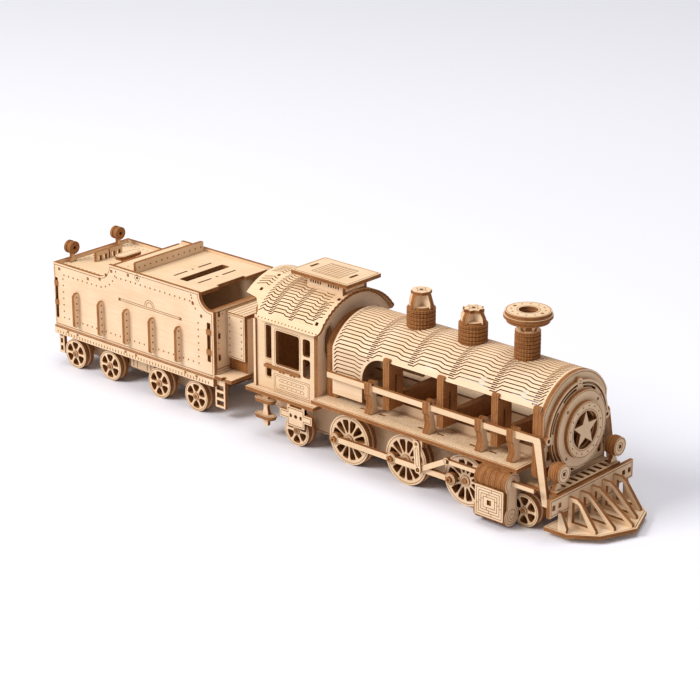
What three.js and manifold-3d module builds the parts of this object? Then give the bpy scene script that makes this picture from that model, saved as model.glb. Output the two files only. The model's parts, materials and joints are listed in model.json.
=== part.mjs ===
// Steam locomotive and tender, a glued and pegged model of laser-cut plywood.
// Millimetres, +X towards the cowcatcher, +Y to the left, +Z up, floor at z = 0.
// Flat pieces are plates cut from one sheet; the boiler shell and the roof are bent thin skins.
import * as THREE from "three";
import { mergeVertices } from "three/addons/utils/BufferGeometryUtils.js";
import Module from "manifold-3d";

const wasm = await Module();
wasm.setup();

// ---- Driving dimensions ----
const SHEET = 2; // plywood sheet
const SKIN = 1.5; // bent skins
const THIN = 1; // valve links
const GAP = 0.1; // glue gap between neighbouring pieces
const RUNNING = 0.15; // radial clearance of an axle or pin in its hole
const REAR_X = -185; // rear face of the tender
const NOSE_X = 185; // tip of the cowcatcher
const HALF_WIDTH = 32.6; // widest plates: running board and buffer beam

const wheel = { thickness: 6, outer: 26, axleR: 2, holeR: 2.2 };
const driver = { r: 13.1, xs: [29.5, 66.5, 103.6], crank: 6.4, spokes: 6 };
const carrier = { r: 8.3, trailingX: -6, pilotX: 139, spokes: 5 };
const rod = { inner: 28, bossR: 3.2, halfHeight: 1.5, pinR: 1.1 };
const frame = { outer: 15, bottom: 5.5 };
const deck = { top: 31, rear: 9.8, front: 139 };
const boiler = {
  z: 45.4, r: 27.3, rear: 16.5, front: 145.4, edgeDeg: 60,
  bendR: 2, skirtX: 36, skirtBottom: 34, archR: 13,
};
const formers = { rear: 52, middle: 86, front: 119, halfWidth: 24.6, bottom: 34.8 };
const kick = { outer: 14.6, top: 35.5 };
const rail = { inner: 25, outer: 27, bottom: 43.2, top: 46.2, rear: 15.5 };
const posts = { xs: [43, 80, 112, 131], top: 47.6 };
const cab = { rear: -34.6, front: 7.5, outer: 27, floorTop: 26, wallTop: 64.2 };
const roof = { z: 46.4, r: 34.1, edgeDeg: 60, rear: -31, front: 12, tailX: -44, tailDeg: 40 };
const beam = { front: 158.8, bottom: 12, middleBottom: 8.8, middleHalf: 18.7, top: 21.2 };
const pilotDeckTop = 22;
const cylinder = { rear: 117.4, front: 136, y: 31.6, lobeR: 5.4, waist: 3.8, lowZ: 6.6, highZ: 22.6 };
const cover = { inset: 1.1, outer: 37.4, bottom: 4.5, top: 20 };
const valve = { pivotX: 78, pivotZ: 26.6, cornerX: 79.2, cornerZ: 13.4, headX: 96.5, barZ: 22.8, barEnd: 149 };
const door = { z: 45, holeR: 9, ringR: 21.2, r: 19, raisedR: 14, earR: 2.2, earAt: 22.7 };
const lamp = { r: 5, z: 31, y: 21.8, rear: 152.2, front: 158.4 };
const tender = {
  front: -62.2, outer: 27.9, floorTop: 24, sillBottom: 17.8, lowTop: 58.5, highTop: 66.8,
  stepX: -140.6, shoulderX: -76.2, deckDrop: 1.6,
};
const sideRib = { first: 18.9, pitch: 19.7, count: 5, depth: 3.4, bottom: 25.7, top: 45 };
const bogie = { r: 8.3, xs: [-77.1, -104.8, -143, -170.7], outer: 26.9 };
const drawPin = { x: -41, r: 2 };

const colours = {
  birch: 0xf0dcb8,
  birchDark: 0xd9b98a,
  edge: 0xa86f38,
};

// ---- Geometry helpers ----
const shapeOf = (points) => new THREE.Shape(points.map(([a, b]) => new THREE.Vector2(a, b)));

function arc(cx, cy, r, fromDeg, toDeg, steps) {
  const turn = THREE.MathUtils.degToRad(toDeg - fromDeg);
  const start = THREE.MathUtils.degToRad(fromDeg);
  return Array.from({ length: steps + 1 }, (_, i) => {
    const a = start + (turn * i) / steps;
    return [cx + r * Math.cos(a), cy + r * Math.sin(a)];
  });
}

const circle = (cx, cy, r, sides) => arc(cx, cy, r, 0, 360, sides).slice(0, -1);
const rectangle = (x0, y0, x1, y1) => [[x0, y0], [x1, y0], [x1, y1], [x0, y1]];
const mirrored = (points) => points.map(([a, b]) => [-a, b]).reverse();

// A capsule outline round two centres, used for rods and links.
function capsule([ax, ay], [bx, by], r, endSteps = 4) {
  const along = THREE.MathUtils.radToDeg(Math.atan2(by - ay, bx - ax));
  return [
    ...arc(bx, by, r, along - 90, along + 90, endSteps),
    ...arc(ax, ay, r, along + 90, along + 270, endSteps),
  ];
}

const turnTo = {
  // The outline's first and second coordinates, then the direction of its thickness.
  X: new THREE.Matrix4().makeBasis(
    new THREE.Vector3(0, 1, 0),
    new THREE.Vector3(0, 0, 1),
    new THREE.Vector3(1, 0, 0),
  ),
  Z: new THREE.Matrix4(),
};

// A slab whose outline is given in the two axes across its normal: X takes (y, z), Y takes
// (x, z) and Z takes (x, y). It fills low to high along the normal.
function slab(normal, low, high, outline) {
  const settings = { depth: high - low, bevelEnabled: false };
  const geometry = new THREE.ExtrudeGeometry(shapeOf(outline), settings);
  if (normal === "Y") {
    geometry.rotateX(Math.PI / 2);
    geometry.translate(0, high, 0);
    return geometry;
  }
  geometry.applyMatrix4(turnTo[normal]);
  return normal === "X" ? geometry.translate(low, 0, 0) : geometry.translate(0, 0, low);
}

// A slab with holes cut right through it.
function plate(normal, low, high, outline, holes = []) {
  const whole = slab(normal, low, high, outline);
  return holes.length ? cut(whole, ...holes.map((hole) => slab(normal, low - 1, high + 1, hole))) : whole;
}

function box(low, high) {
  const size = low.map((value, i) => high[i] - value);
  const centre = low.map((value, i) => (value + high[i]) / 2);
  return new THREE.BoxGeometry(...size).translate(...centre);
}

const disc = (normal, low, high, a, b, r, sides) => plate(normal, low, high, circle(a, b, r, sides));

function solidOf(geometry) {
  const bare = geometry.clone();
  bare.deleteAttribute("normal");
  bare.deleteAttribute("uv");
  const merged = mergeVertices(bare, 1e-4);
  return new wasm.Manifold(new wasm.Mesh({
    numProp: 3,
    vertProperties: merged.attributes.position.array,
    triVerts: new Uint32Array(merged.index.array),
  }));
}

function geometryOf(solid) {
  const mesh = solid.getMesh();
  const geometry = new THREE.BufferGeometry();
  geometry.setAttribute("position", new THREE.BufferAttribute(mesh.vertProperties, 3));
  geometry.setIndex(new THREE.BufferAttribute(mesh.triVerts, 1));
  return geometry;
}

const join = (...pieces) => geometryOf(pieces.map(solidOf).reduce((sum, next) => sum.add(next)));
const cut = (piece, ...tools) => geometryOf(
  tools.map(solidOf).reduce((left, tool) => left.subtract(tool), solidOf(piece)),
);

const train = new THREE.Group();

function add(parent, name, geometry, colour = colours.birch) {
  const material = new THREE.MeshStandardMaterial({ color: colour, roughness: 0.65, metalness: 0 });
  const mesh = new THREE.Mesh(geometry, material);
  mesh.name = name;
  parent.add(mesh);
}

// Both sides of the train: y is mirrored by the sign.
const sides = [["left", 1], ["right", -1]];
const span = (sign, inner, outer) => (sign > 0 ? [inner, outer] : [-outer, -inner]);

// ---- Wheels, turned about a crosswise axle ----
function wheelOutlineHoles(r, spokes) {
  const hub = 0.26 * r;
  const rimInner = 0.76 * r;
  const half = 180 / spokes;
  return Array.from({ length: spokes }, (_, i) => {
    const mid = (360 * (i + 0.5)) / spokes;
    return [
      ...arc(0, 0, rimInner, mid - half * 0.68, mid + half * 0.68, 1),
      ...arc(0, 0, hub, mid + half * 0.3, mid - half * 0.3, 1),
    ];
  });
}

function wheelset(x, r, outer, spokes, crank) {
  const holes = wheelOutlineHoles(r, spokes);
  const pieces = [disc("Y", -outer + 1, outer - 1, 0, 0, wheel.axleR, 8)];
  for (const [, sign] of sides) {
    const rim = circle(0, 0, r, 24);
    const [low, high] = span(sign, outer - wheel.thickness, outer);
    pieces.push(plate("Y", low, high, rim, holes));
    const [capLow, capHigh] = span(sign, outer - 1, outer + 1.2);
    pieces.push(disc("Y", capLow, capHigh, 0, 0, 0.24 * r, 8));
    if (crank) pieces.push(...crankPin(sign, outer));
  }
  return join(...pieces).translate(x, 0, r);
}

// Spacer, pin and nut that carry a side rod, behind the axle at rest.
function crankPin(sign, outer) {
  const stack = [
    [outer - SHEET, rod.inner - GAP, 1.7],
    [rod.inner - 0.5, rod.inner + SHEET + GAP + 0.5, rod.pinR],
    [rod.inner + SHEET + GAP, rod.inner + SHEET + 1.4, 1.9],
  ];
  return stack.map(([inner, end, r]) => {
    const [low, high] = span(sign, inner, end);
    return disc("Y", low, high, -driver.crank, 0, r, 8);
  });
}

// ---- Running gear ----
function frames() {
  const axles = [
    ...driver.xs.map((x) => [x, driver.r]),
    [carrier.trailingX, carrier.r],
    [carrier.pilotX, carrier.r],
  ];
  const outline = [
    [-33, 14], [-20, frame.bottom], [146, frame.bottom], [beam.front - SHEET - GAP, beam.bottom + 1],
    [beam.front - SHEET - GAP, pilotDeckTop - SHEET - GAP], [deck.front, pilotDeckTop - SHEET - GAP],
    [deck.front, deck.top - SHEET - GAP], [deck.rear, deck.top - SHEET - GAP],
    [deck.rear, cab.floorTop - SHEET - GAP], [-33, cab.floorTop - SHEET - GAP],
  ];
  const holes = axles.map(([x, z]) => circle(x, z, wheel.holeR, 12));
  for (const [side, sign] of sides) {
    const [low, high] = span(sign, frame.outer - SHEET, frame.outer);
    add(train, `frame_${side}`, plate("Y", low, high, outline, holes), colours.birchDark);
  }
}

function sideRods() {
  const [first, , last] = driver.xs;
  const pins = driver.xs.map((x) => [x - driver.crank, driver.r]);
  for (const [side, sign] of sides) {
    const [low, high] = span(sign, rod.inner, rod.inner + SHEET);
    const bar = rectangle(first - driver.crank, driver.r - rod.halfHeight,
      last - driver.crank, driver.r + rod.halfHeight);
    const bosses = pins.map(([x, z]) => disc("Y", low, high, x, z, rod.bossR, 16));
    const bores = pins.map(([x, z]) => disc("Y", low - 1, high + 1, x, z, rod.pinR + RUNNING, 12));
    add(train, `side_rod_${side}`, cut(join(plate("Y", low, high, bar), ...bosses), ...bores));
  }
}

// The valve rod slides through the upper cylinder bore; its radius rod reaches back to the link.
const valveLayers = {
  bar: [30.3, 32.2],
  radius: [30.3, 30.3 + THIN],
  link: [31.4, 31.4 + THIN],
};

function valveGear() {
  const head = [valve.headX, valve.barZ];
  const corner = [valve.cornerX, valve.cornerZ];
  const pivot = [valve.pivotX, valve.pivotZ];
  for (const [side, sign] of sides) {
    const [barLow, barHigh] = span(sign, ...valveLayers.bar);
    const [radiusLow, radiusHigh] = span(sign, ...valveLayers.radius);
    const [linkLow, linkHigh] = span(sign, ...valveLayers.link);
    const [cornerLow, cornerHigh] = span(sign, valveLayers.radius[0] + 0.4, valveLayers.link[1]);
    add(train, `valve_rod_${side}`, join(
      plate("Y", barLow, barHigh, rectangle(valve.headX, valve.barZ - 1.1, valve.barEnd, valve.barZ + 1.1)),
      disc("Y", barLow, barHigh, ...head, 1.9, 12),
      plate("Y", radiusLow, radiusHigh, capsule(corner, head, 1.5)),
      disc("Y", cornerLow, cornerHigh, ...corner, 0.6, 8),
    ));
    add(train, `valve_link_${side}`, cut(
      plate("Y", linkLow, linkHigh, capsule(corner, pivot, 1.9)),
      disc("Y", linkLow - 1, linkHigh + 1, ...corner, 1.2, 8),
      disc("Y", linkLow - 1, linkHigh + 1, ...pivot, 0.8 + RUNNING, 8),
    ));
  }
}

function cylinders() {
  const { rear, front, y, lobeR, waist, lowZ, highZ } = cylinder;
  const profile = (sign) => join(
    disc("X", rear, front, sign * y, lowZ, lobeR, 20),
    disc("X", rear, front, sign * y, highZ, lobeR, 20),
    box([rear, sign * y - waist, lowZ], [front, sign * y + waist, highZ]),
  );
  for (const [side, sign] of sides) {
    const [coverLow, coverHigh] = span(sign, y + waist - 0.5, cover.outer);
    const [blockLow, blockHigh] = span(sign, y - waist, HALF_WIDTH - GAP);
    const [boreLow, boreHigh] = span(sign, valveLayers.bar[0] - 0.2, valveLayers.bar[1] + 0.2);
    add(train, `cylinder_${side}`, cut(
      join(
        profile(sign),
        box([rear + cover.inset, coverLow, cover.bottom], [front - cover.inset / 2, coverHigh, cover.top]),
        box([rear + 1, blockLow, highZ + 2], [front - 1, blockHigh, deck.top - SHEET - GAP]),
      ),
      box([rear - 1, boreLow, valve.barZ - 1.3], [front + 1, boreHigh, valve.barZ + 1.3]),
    ), colours.edge);
  }
}

// ---- Boiler ----
// Half outline of a former or front plate in (y, z): an arched top on straight sides.
function archOutline(halfWidth, r, z, bottom, steps) {
  const startDeg = THREE.MathUtils.radToDeg(Math.acos(halfWidth / r));
  return [[-halfWidth, bottom], [halfWidth, bottom], ...arc(0, z, r, startDeg, 180 - startDeg, steps)];
}

// A former's plates from a bottom height up, cut out where the bent shell passes over them.
function formerBody(low, high, bottom) {
  const { halfWidth } = formers;
  const innerR = boiler.r - SKIN - GAP;
  const edgeCos = Math.cos(THREE.MathUtils.degToRad(boiler.edgeDeg));
  const sideTop = boiler.z + boiler.r * edgeCos;
  const skinBottom = boiler.z + (boiler.r - SKIN) * edgeCos;
  const crown = slab("X", low, high, [...arc(0, boiler.z, innerR, 30, 150, 24), [0, boiler.z]]);
  const body = join(crown, slab("X", low, high, rectangle(-halfWidth, bottom, halfWidth, sideTop + 2)));
  const slot = slab("X", low - 1, high + 1, [
    ...arc(0, boiler.z, boiler.r + GAP, 20, 160, 24),
    ...arc(0, boiler.z, innerR, 160, 20, 24),
  ]);
  const aboveEdge = box([low - 2, -40, skinBottom - GAP], [high + 2, 40, 90]);
  return cut(body, geometryOf(solidOf(slot).intersect(solidOf(aboveEdge))));
}

function boilerFormers() {
  for (const name of ["rear", "middle", "front"]) {
    const [low, high] = [formers[name] - SHEET, formers[name] + SHEET];
    const hollow = slab("X", low - 1, high + 1, archOutline(14, 20.5, boiler.z, 40.8, 12));
    const footHalf = kick.outer - SHEET - GAP;
    const foot = box([low, -footHalf, deck.top + GAP], [high, footHalf, formers.bottom + 1]);
    const arch = cut(formerBody(low, high, formers.bottom), hollow);
    add(train, `boiler_former_${name}`, join(arch, foot), colours.edge);
  }
}

function kickStrips() {
  for (const [side, sign] of sides) {
    const [low, high] = span(sign, kick.outer - SHEET, kick.outer);
    const strip = rectangle(deck.rear + 2, deck.top + GAP, deck.front - 1, kick.top);
    const notches = ["rear", "middle", "front"].map((name) => box(
      [formers[name] - SHEET - GAP, low - 1, formers.bottom - GAP],
      [formers[name] + SHEET + GAP, high + 1, 40],
    ));
    add(train, `kick_strip_${side}`, cut(plate("Y", low, high, strip), ...notches), colours.birchDark);
  }
}

function boilerShell() {
  const { r, z, rear, front, edgeDeg, bendR, skirtX, skirtBottom } = boiler;
  const low = 90 - edgeDeg;
  const edge = THREE.MathUtils.degToRad(low);
  // Past the edge angle the skin goes over a tighter bend to a straight skirt.
  const bendY = (r - bendR) * Math.cos(edge);
  const bendZ = z + (r - bendR) * Math.sin(edge);
  const rightHalf = [
    ...arc(0, z, r, 90, low, 12),
    ...arc(bendY, bendZ, bendR, low, 0, 3).slice(1),
    [bendY + bendR, skirtBottom],
    [bendY + bendR - SKIN, skirtBottom],
    ...arc(bendY, bendZ, bendR - SKIN, 0, low, 3),
    ...arc(0, z, r - SKIN, low, 90, 12).slice(1),
  ];
  const outline = [...rightHalf, ...mirrored(rightHalf).slice(1, -1)];
  // The skirt is left beside the cab only, and ends forwards in a quarter arch.
  const edgeZ = z + r * Math.sin(edge);
  const archX = skirtX + boiler.archR;
  const archZ = edgeZ - boiler.archR;
  return cut(
    slab("X", rear, front, outline),
    disc("Y", -40, 40, archX, archZ, boiler.archR, 24),
    box([skirtX, -40, 20], [archX + 5, 40, archZ]),
    box([archX, -40, 20], [front + 5, 40, edgeZ]),
  );
}

function smokebox() {
  const start = boiler.front + GAP;
  const doorway = disc("X", start - 10, start + 10, 0, door.z, door.holeR, 20);
  const bottom = pilotDeckTop + GAP;
  const arch = archOutline(formers.halfWidth, boiler.r, boiler.z, bottom, 24);
  const former = formerBody(start - 2 * SHEET - GAP, start + GAP, bottom);
  add(train, "smokebox_front", cut(join(former, slab("X", start, start + SHEET, arch)), doorway));
  const ringX = start + SHEET + GAP;
  const ears = [[0, door.z + door.earAt], [-door.earAt, door.z], [door.earAt, door.z]];
  const ring = join(
    disc("X", ringX, ringX + SHEET, 0, door.z, door.ringR, 28),
    ...ears.map(([y, z]) => disc("X", ringX, ringX + SHEET, y, z, door.earR, 12)),
  );
  add(train, "smokebox_ring", cut(ring, doorway));
  const doorX = ringX + SHEET + GAP;
  add(train, "smokebox_door", join(
    disc("X", doorX, doorX + SHEET, 0, door.z, door.r, 28),
    disc("X", doorX + 1, doorX + 2 * SHEET, 0, door.z, door.raisedR, 20),
  ));
}

// A stack of discs along Z, given as [bottom, top, radius].
const stackOf = (x, sidesCount, layers) => join(
  ...layers.map(([low, high, r]) => disc("Z", low, high, x, 0, r, sidesCount)),
);

function fittings() {
  const crown = boiler.z + boiler.r + GAP;
  const chimneyX = 118.5;
  add(train, "chimney_stack", stackOf(chimneyX, 16, [[crown, 86.5, 6.2], [86, 90.4, 5]]), colours.edge);
  const cone = [[90.5, 92.6, 10.4], [92, 94.4, 11.8], [94, 96, 10.9]];
  add(train, "chimney_funnel", cut(
    stackOf(chimneyX, 20, cone),
    disc("Z", 91.5, 99, chimneyX, 0, 4.6, 12),
  ));
  for (const [name, x, top] of [["front", 85.7, 89.2], ["rear", 53.2, 90.7]]) {
    const shoulder = crown + 10.3;
    const layers = [[crown, shoulder, 7.2], [shoulder - 1, shoulder + 3, 6.4], [shoulder + 2, top, 4.8]];
    add(train, `dome_${name}`, stackOf(x, 16, layers), colours.edge);
  }
}

// ---- Running board, handrails and pilot ----
// A block under the board, with the peg that a valve link swings on.
function linkHanger(sign) {
  const [low, high] = span(sign, 27, valveLayers.link[0] - GAP);
  const [pegLow, pegHigh] = span(sign, 27, valveLayers.link[1]);
  return join(
    box([valve.pivotX - 3, low, 24.4], [valve.pivotX + 3, high, deck.top - SHEET + 0.5]),
    disc("Y", pegLow, pegHigh, valve.pivotX, valve.pivotZ, 0.8, 8),
  );
}

function runningBoard() {
  const outline = rectangle(deck.rear, -HALF_WIDTH + GAP, deck.front, HALF_WIDTH - GAP);
  add(train, "running_board", join(
    plate("Z", deck.top - SHEET, deck.top, outline),
    ...sides.map(([, sign]) => linkHanger(sign)),
  ));
}

function handrails() {
  const baluster = [
    [27.4, deck.top + GAP], [26.8, 33.5], [26, 36], [26.7, 40], [27.6, 42], [27.6, posts.top],
    [22.4, posts.top], [22.4, 42], [24.2, 40], [23.4, 36], [22.4, 33.5], [21.8, deck.top + GAP],
  ].reverse();
  for (const [side, sign] of sides) {
    const [low, high] = span(sign, rail.inner, rail.outer);
    const outline = sign > 0 ? baluster : mirrored(baluster);
    const cornerX = 146.3;
    const stay = [
      [posts.xs[3], rail.bottom], [cornerX - 2, rail.bottom + 1], [150.2, 14], [153.4, 14],
      [cornerX + 1.6, rail.top + 1], [posts.xs[3], rail.top + 1],
    ];
    add(train, `handrail_${side}`, join(
      box([rail.rear, low, rail.bottom], [posts.xs[3] + 1, high, rail.top]),
      ...posts.xs.map((x) => plate("X", x - SHEET, x + SHEET, outline)),
      plate("Y", low, high, stay),
    ));
  }
}

function pilot() {
  const beamRear = beam.front - SHEET;
  const slots = Array.from({ length: 9 }, (_, i) => rectangle(151, -21 + 5 * i, 155, -19 + 5 * i));
  const deckOutline = rectangle(deck.front + GAP, -24.8, beamRear - GAP, 24.8);
  add(train, "pilot_deck", plate("Z", pilotDeckTop - SHEET, pilotDeckTop, deckOutline, slots));
  const beamOutline = [
    [-HALF_WIDTH, beam.bottom], [-beam.middleHalf, beam.bottom], [-beam.middleHalf, beam.middleBottom],
    [beam.middleHalf, beam.middleBottom], [beam.middleHalf, beam.bottom], [HALF_WIDTH, beam.bottom],
    [HALF_WIDTH, beam.top], [-HALF_WIDTH, beam.top],
  ];
  const sockets = [-28, 28].map((y) => rectangle(y - 1.2, 15.4, y + 1.2, 17.8));
  add(train, "buffer_beam", plate("X", beamRear, beam.front, beamOutline, sockets));

  const baseTop = 4.3;
  const base = [
    [151.5, -27.3], [164.5, -27.3], [177.4, -18.4], [NOSE_X, 0], [177.4, 18.4], [164.5, 27.3], [151.5, 27.3],
  ];
  const rib = (y, tip) => {
    const back = beam.front + GAP;
    const outer = [[back, baseTop - 0.5], [tip, baseTop - 0.5], [tip - 1, baseTop + 1.5], [166, 17], [back, 18.6]];
    const hole = [[back + 2.4, baseTop + 2], [tip - 7, baseTop + 2], [164.4, 14.6], [back + 2.4, 15.8]];
    return plate("Y", y - SHEET / 2, y + SHEET / 2, outer, [hole]);
  };
  const tips = [[-17.5, 175], [-8.7, 179], [0, 183], [8.7, 179], [17.5, 175]];
  add(train, "cowcatcher", join(
    plate("Z", baseTop - SHEET, baseTop, base),
    ...tips.map(([y, tip]) => rib(y, tip)),
  ));
}

function headlamps() {
  for (const [side, sign] of sides) {
    const y = sign * lamp.y;
    add(train, `headlamp_${side}`, join(
      disc("X", lamp.rear, lamp.front, y, lamp.z, lamp.r, 18),
      box([lamp.rear + 1, y - 1.5, pilotDeckTop + GAP], [lamp.rear + 3.4, y + 1.5, lamp.z - 3]),
    ), colours.edge);
  }
}

// ---- Cab ----
function cabBody() {
  const { rear, front, outer, floorTop, wallTop } = cab;
  const floorBottom = floorTop - SHEET;
  const roofInside = roof.r - SKIN - 0.3;
  const pin = disc("Z", 16.5, floorBottom + 1, drawPin.x, 0, drawPin.r, 12);
  const floor = join(
    plate("Z", floorBottom, floorTop, rectangle(-37, -31, deck.rear - GAP, 31)),
    plate("Z", floorBottom, floorTop, rectangle(-45, -5, -36, 5)),
    pin,
    ...sides.flatMap(([, sign]) => {
      const [low, high] = span(sign, 28, 30);
      return [
        plate("Y", low, high, rectangle(-9, 22, -7, floorBottom + 0.5)),
        plate("Y", low, high, rectangle(1, 22, 3, floorBottom + 0.5)),
        plate("Y", low, high, [
          [-9, 12], [3, 12], [3, 15.5], [8, 15.5], [8, 20], [3, 20], [3, 22.5],
          [-9, 22.5], [-9, 20], [-14, 20], [-14, 15.5], [-9, 15.5],
        ]),
      ];
    }),
  );
  add(train, "cab_floor", floor, colours.birchDark);

  const wallBottom = floorTop + GAP;
  const windows = [
    rectangle(-24, 41, -9, 58.5),
    rectangle(-5.5, 50, -1, 58.5),
    rectangle(-5.5, 41, -1, 48),
    rectangle(-31.5, 43, -28, 60),
  ];
  for (const [side, sign] of sides) {
    const [low, high] = span(sign, outer - SHEET, outer);
    add(train, `cab_side_${side}`, plate("Y", low, high, rectangle(rear, wallBottom, front, wallTop), windows));
  }
  const endOutline = (halfWidth) => archOutline(halfWidth, roofInside, roof.z, wallBottom, 20);
  const lookout = [[16.5, 52], [21.8, 50.6], [21.8, 64], [16.5, 67.5]];
  const wallX = front + GAP;
  add(train, "cab_front", plate("X", wallX, wallX + SHEET, endOutline(outer), [lookout, mirrored(lookout)]));
  const doorway = archOutline(15, roofInside - 5, roof.z, wallBottom - 1, 12);
  add(train, "cab_rear", cut(
    plate("X", rear, rear + SHEET, endOutline(outer - SHEET - GAP)),
    plate("X", rear - 1, rear + SHEET + 1, doorway),
  ));
}

function cabRoof() {
  const { r, z, edgeDeg, rear, front, tailX, tailDeg } = roof;
  const bend = (from, to, steps) => [...arc(0, z, r, from, to, steps), ...arc(0, z, r - SKIN, to, from, steps)];
  add(train, "cab_roof", join(
    plate("X", rear, front, bend(90 - edgeDeg, 90 + edgeDeg, 16)),
    plate("X", tailX, rear + 1, bend(90 - tailDeg, 90 + tailDeg, 8)),
  ));
  const crown = z + r + GAP;
  add(train, "roof_vent", join(
    box([-14, -9, crown], [10, 9, 85.5]),
    box([-22, -13, 85.4], [16.5, 13, 87.4]),
  ));
}

function cabSteps() {
  for (const [side, sign] of sides) {
    const y = sign * 27;
    const tread = (z) => plate("Z", z - SHEET, z, capsule([-30.4, y], [-22.8, y], 3, 5));
    const [low, high] = span(sign, 25.5, 27.5);
    add(train, `cab_steps_${side}`, join(
      tread(20.8),
      tread(12),
      plate("Y", low, high, rectangle(-28, 6, -25, cab.floorTop - SHEET - GAP)),
    ), colours.edge);
  }
}

// ---- Tender ----
function tenderOutline() {
  const { front, sillBottom, lowTop, highTop, stepX, shoulderX } = tender;
  const sweep = highTop - lowTop;
  return [
    [REAR_X, sillBottom], [front, sillBottom], [front, lowTop],
    ...arc(shoulderX + 12, highTop - 0.2, sweep, 270, 182, 6),
    [shoulderX + 3.6, highTop], [stepX, highTop],
    ...arc(stepX - sweep, highTop, sweep, 0, -90, 6).slice(1),
    [REAR_X, lowTop],
  ];
}

function tenderBody() {
  const { front, outer, floorTop, lowTop, highTop } = tender;
  const inside = outer - SHEET - GAP;
  const floorBottom = floorTop - SHEET;
  const bearerHoles = bogie.xs.map((x) => circle(x, bogie.r, wheel.holeR, 12));
  const bearer = [
    [-180, 12], [-174, 5], [-73, 5], [-67, 12], [-67, floorBottom + 0.5], [-180, floorBottom + 0.5],
  ];
  const pinHole = circle(drawPin.x, 0, drawPin.r + RUNNING, 12);
  add(train, "tender_floor", join(
    plate("Z", floorBottom, floorTop, rectangle(REAR_X + SHEET + GAP, -inside, front + 1, inside)),
    plate("Z", floorBottom, floorTop, rectangle(front + GAP, -28, -50, 28)),
    ...sides.map(([, sign]) => {
      const [low, high] = span(sign, frame.outer - SHEET, frame.outer);
      return plate("Y", low, high, bearer, bearerHoles);
    }),
    plate("Z", 18.5, 20.5, capsule([-56, 0], [drawPin.x, 0], 5), [pinHole]),
    box([-60, -4, 18.6], [-56, 4, floorBottom + 0.5]),
  ), colours.birchDark);

  for (const [side, sign] of sides) {
    const [low, high] = span(sign, outer - SHEET, outer);
    const [ribLow, ribHigh] = span(sign, outer - SHEET, outer + sideRib.depth);
    const ribs = Array.from({ length: sideRib.count }, (_, i) => REAR_X + sideRib.first + sideRib.pitch * i);
    add(train, `tender_side_${side}`, join(
      plate("Y", low, high, tenderOutline()),
      ...ribs.map((x) => box([x - SHEET / 2, ribLow, sideRib.bottom], [x + SHEET / 2, ribHigh, sideRib.top])),
    ));
  }
  const endWall = (bottom, top) => rectangle(-inside, bottom, inside, top);
  const rearDeckTop = lowTop - tender.deckDrop;
  const topDeckTop = highTop - tender.deckDrop;
  const deckBottom = rearDeckTop - SHEET;
  add(train, "tender_rear", plate("X", REAR_X, REAR_X + SHEET, endWall(tender.sillBottom, lowTop)));
  add(train, "tender_front", plate("X", -66, -64, endWall(floorTop + GAP, lowTop)));

  const rearDeckOutline = rectangle(REAR_X + SHEET + GAP, -inside, -142.8, inside);
  add(train, "tender_rear_deck", join(
    plate("Z", deckBottom, rearDeckTop, rearDeckOutline),
    plate("Z", rearDeckTop - 0.5, rearDeckTop + SHEET, capsule([-155, -5.6], [-155, 5.6], 3.2, 6)),
  ));
  const slots = [[-96, 8, 16], [-112, 1.2, 12], [-106, 1.2, 12], [-86, 1.2, 12], [-82, 1.2, 12]];
  const topPlate = plate("Z", topDeckTop - SHEET, topDeckTop, rectangle(-142.6, -inside, -75.5, inside));
  add(train, "tender_top_deck", join(
    cut(topPlate, ...slots.map(([x, width, half]) => (
      box([x - width / 2, -half, 60], [x + width / 2, half, 70])
    ))),
    plate("X", -142.6, -140.6, endWall(deckBottom, topDeckTop - 1)),
  ));
  add(train, "tender_plank", plate("X", -124, -122, rectangle(-25, topDeckTop + GAP, 25, 71)));
  const locker = cut(
    box([-63.8, -17, floorTop + GAP], [-50.6, 17, 56]),
    box([-61.8, -15, 20], [-52.6, 15, 54]),
  );
  add(train, "tender_locker", locker);
  for (const [side, sign] of sides) {
    const y = sign * 17;
    add(train, `tender_lamp_${side}`, join(
      disc("X", -184, -179, y, 65, 3.6, 16),
      box([-182.4, y - 1.2, rearDeckTop + GAP], [-180.4, y + 1.2, 63]),
    ), colours.edge);
  }
}

// ---- Assembly ----
frames();
runningBoard();
kickStrips();
boilerFormers();
add(train, "boiler_shell", boilerShell());
smokebox();
fittings();
handrails();
pilot();
headlamps();
cylinders();
cabBody();
cabRoof();
cabSteps();
driver.xs.forEach((x, i) => {
  add(train, `driver_wheelset_${i + 1}`, wheelset(x, driver.r, wheel.outer, driver.spokes, true));
});
add(train, "trailing_wheelset", wheelset(carrier.trailingX, carrier.r, wheel.outer, carrier.spokes, false));
add(train, "pilot_wheelset", wheelset(carrier.pilotX, carrier.r, wheel.outer, carrier.spokes, false));
sideRods();
valveGear();
bogie.xs.forEach((x, i) => {
  add(train, `tender_wheelset_${i + 1}`, wheelset(x, bogie.r, bogie.outer, carrier.spokes, false));
});
tenderBody();

export default train;
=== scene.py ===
import json
import math
import random

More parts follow.
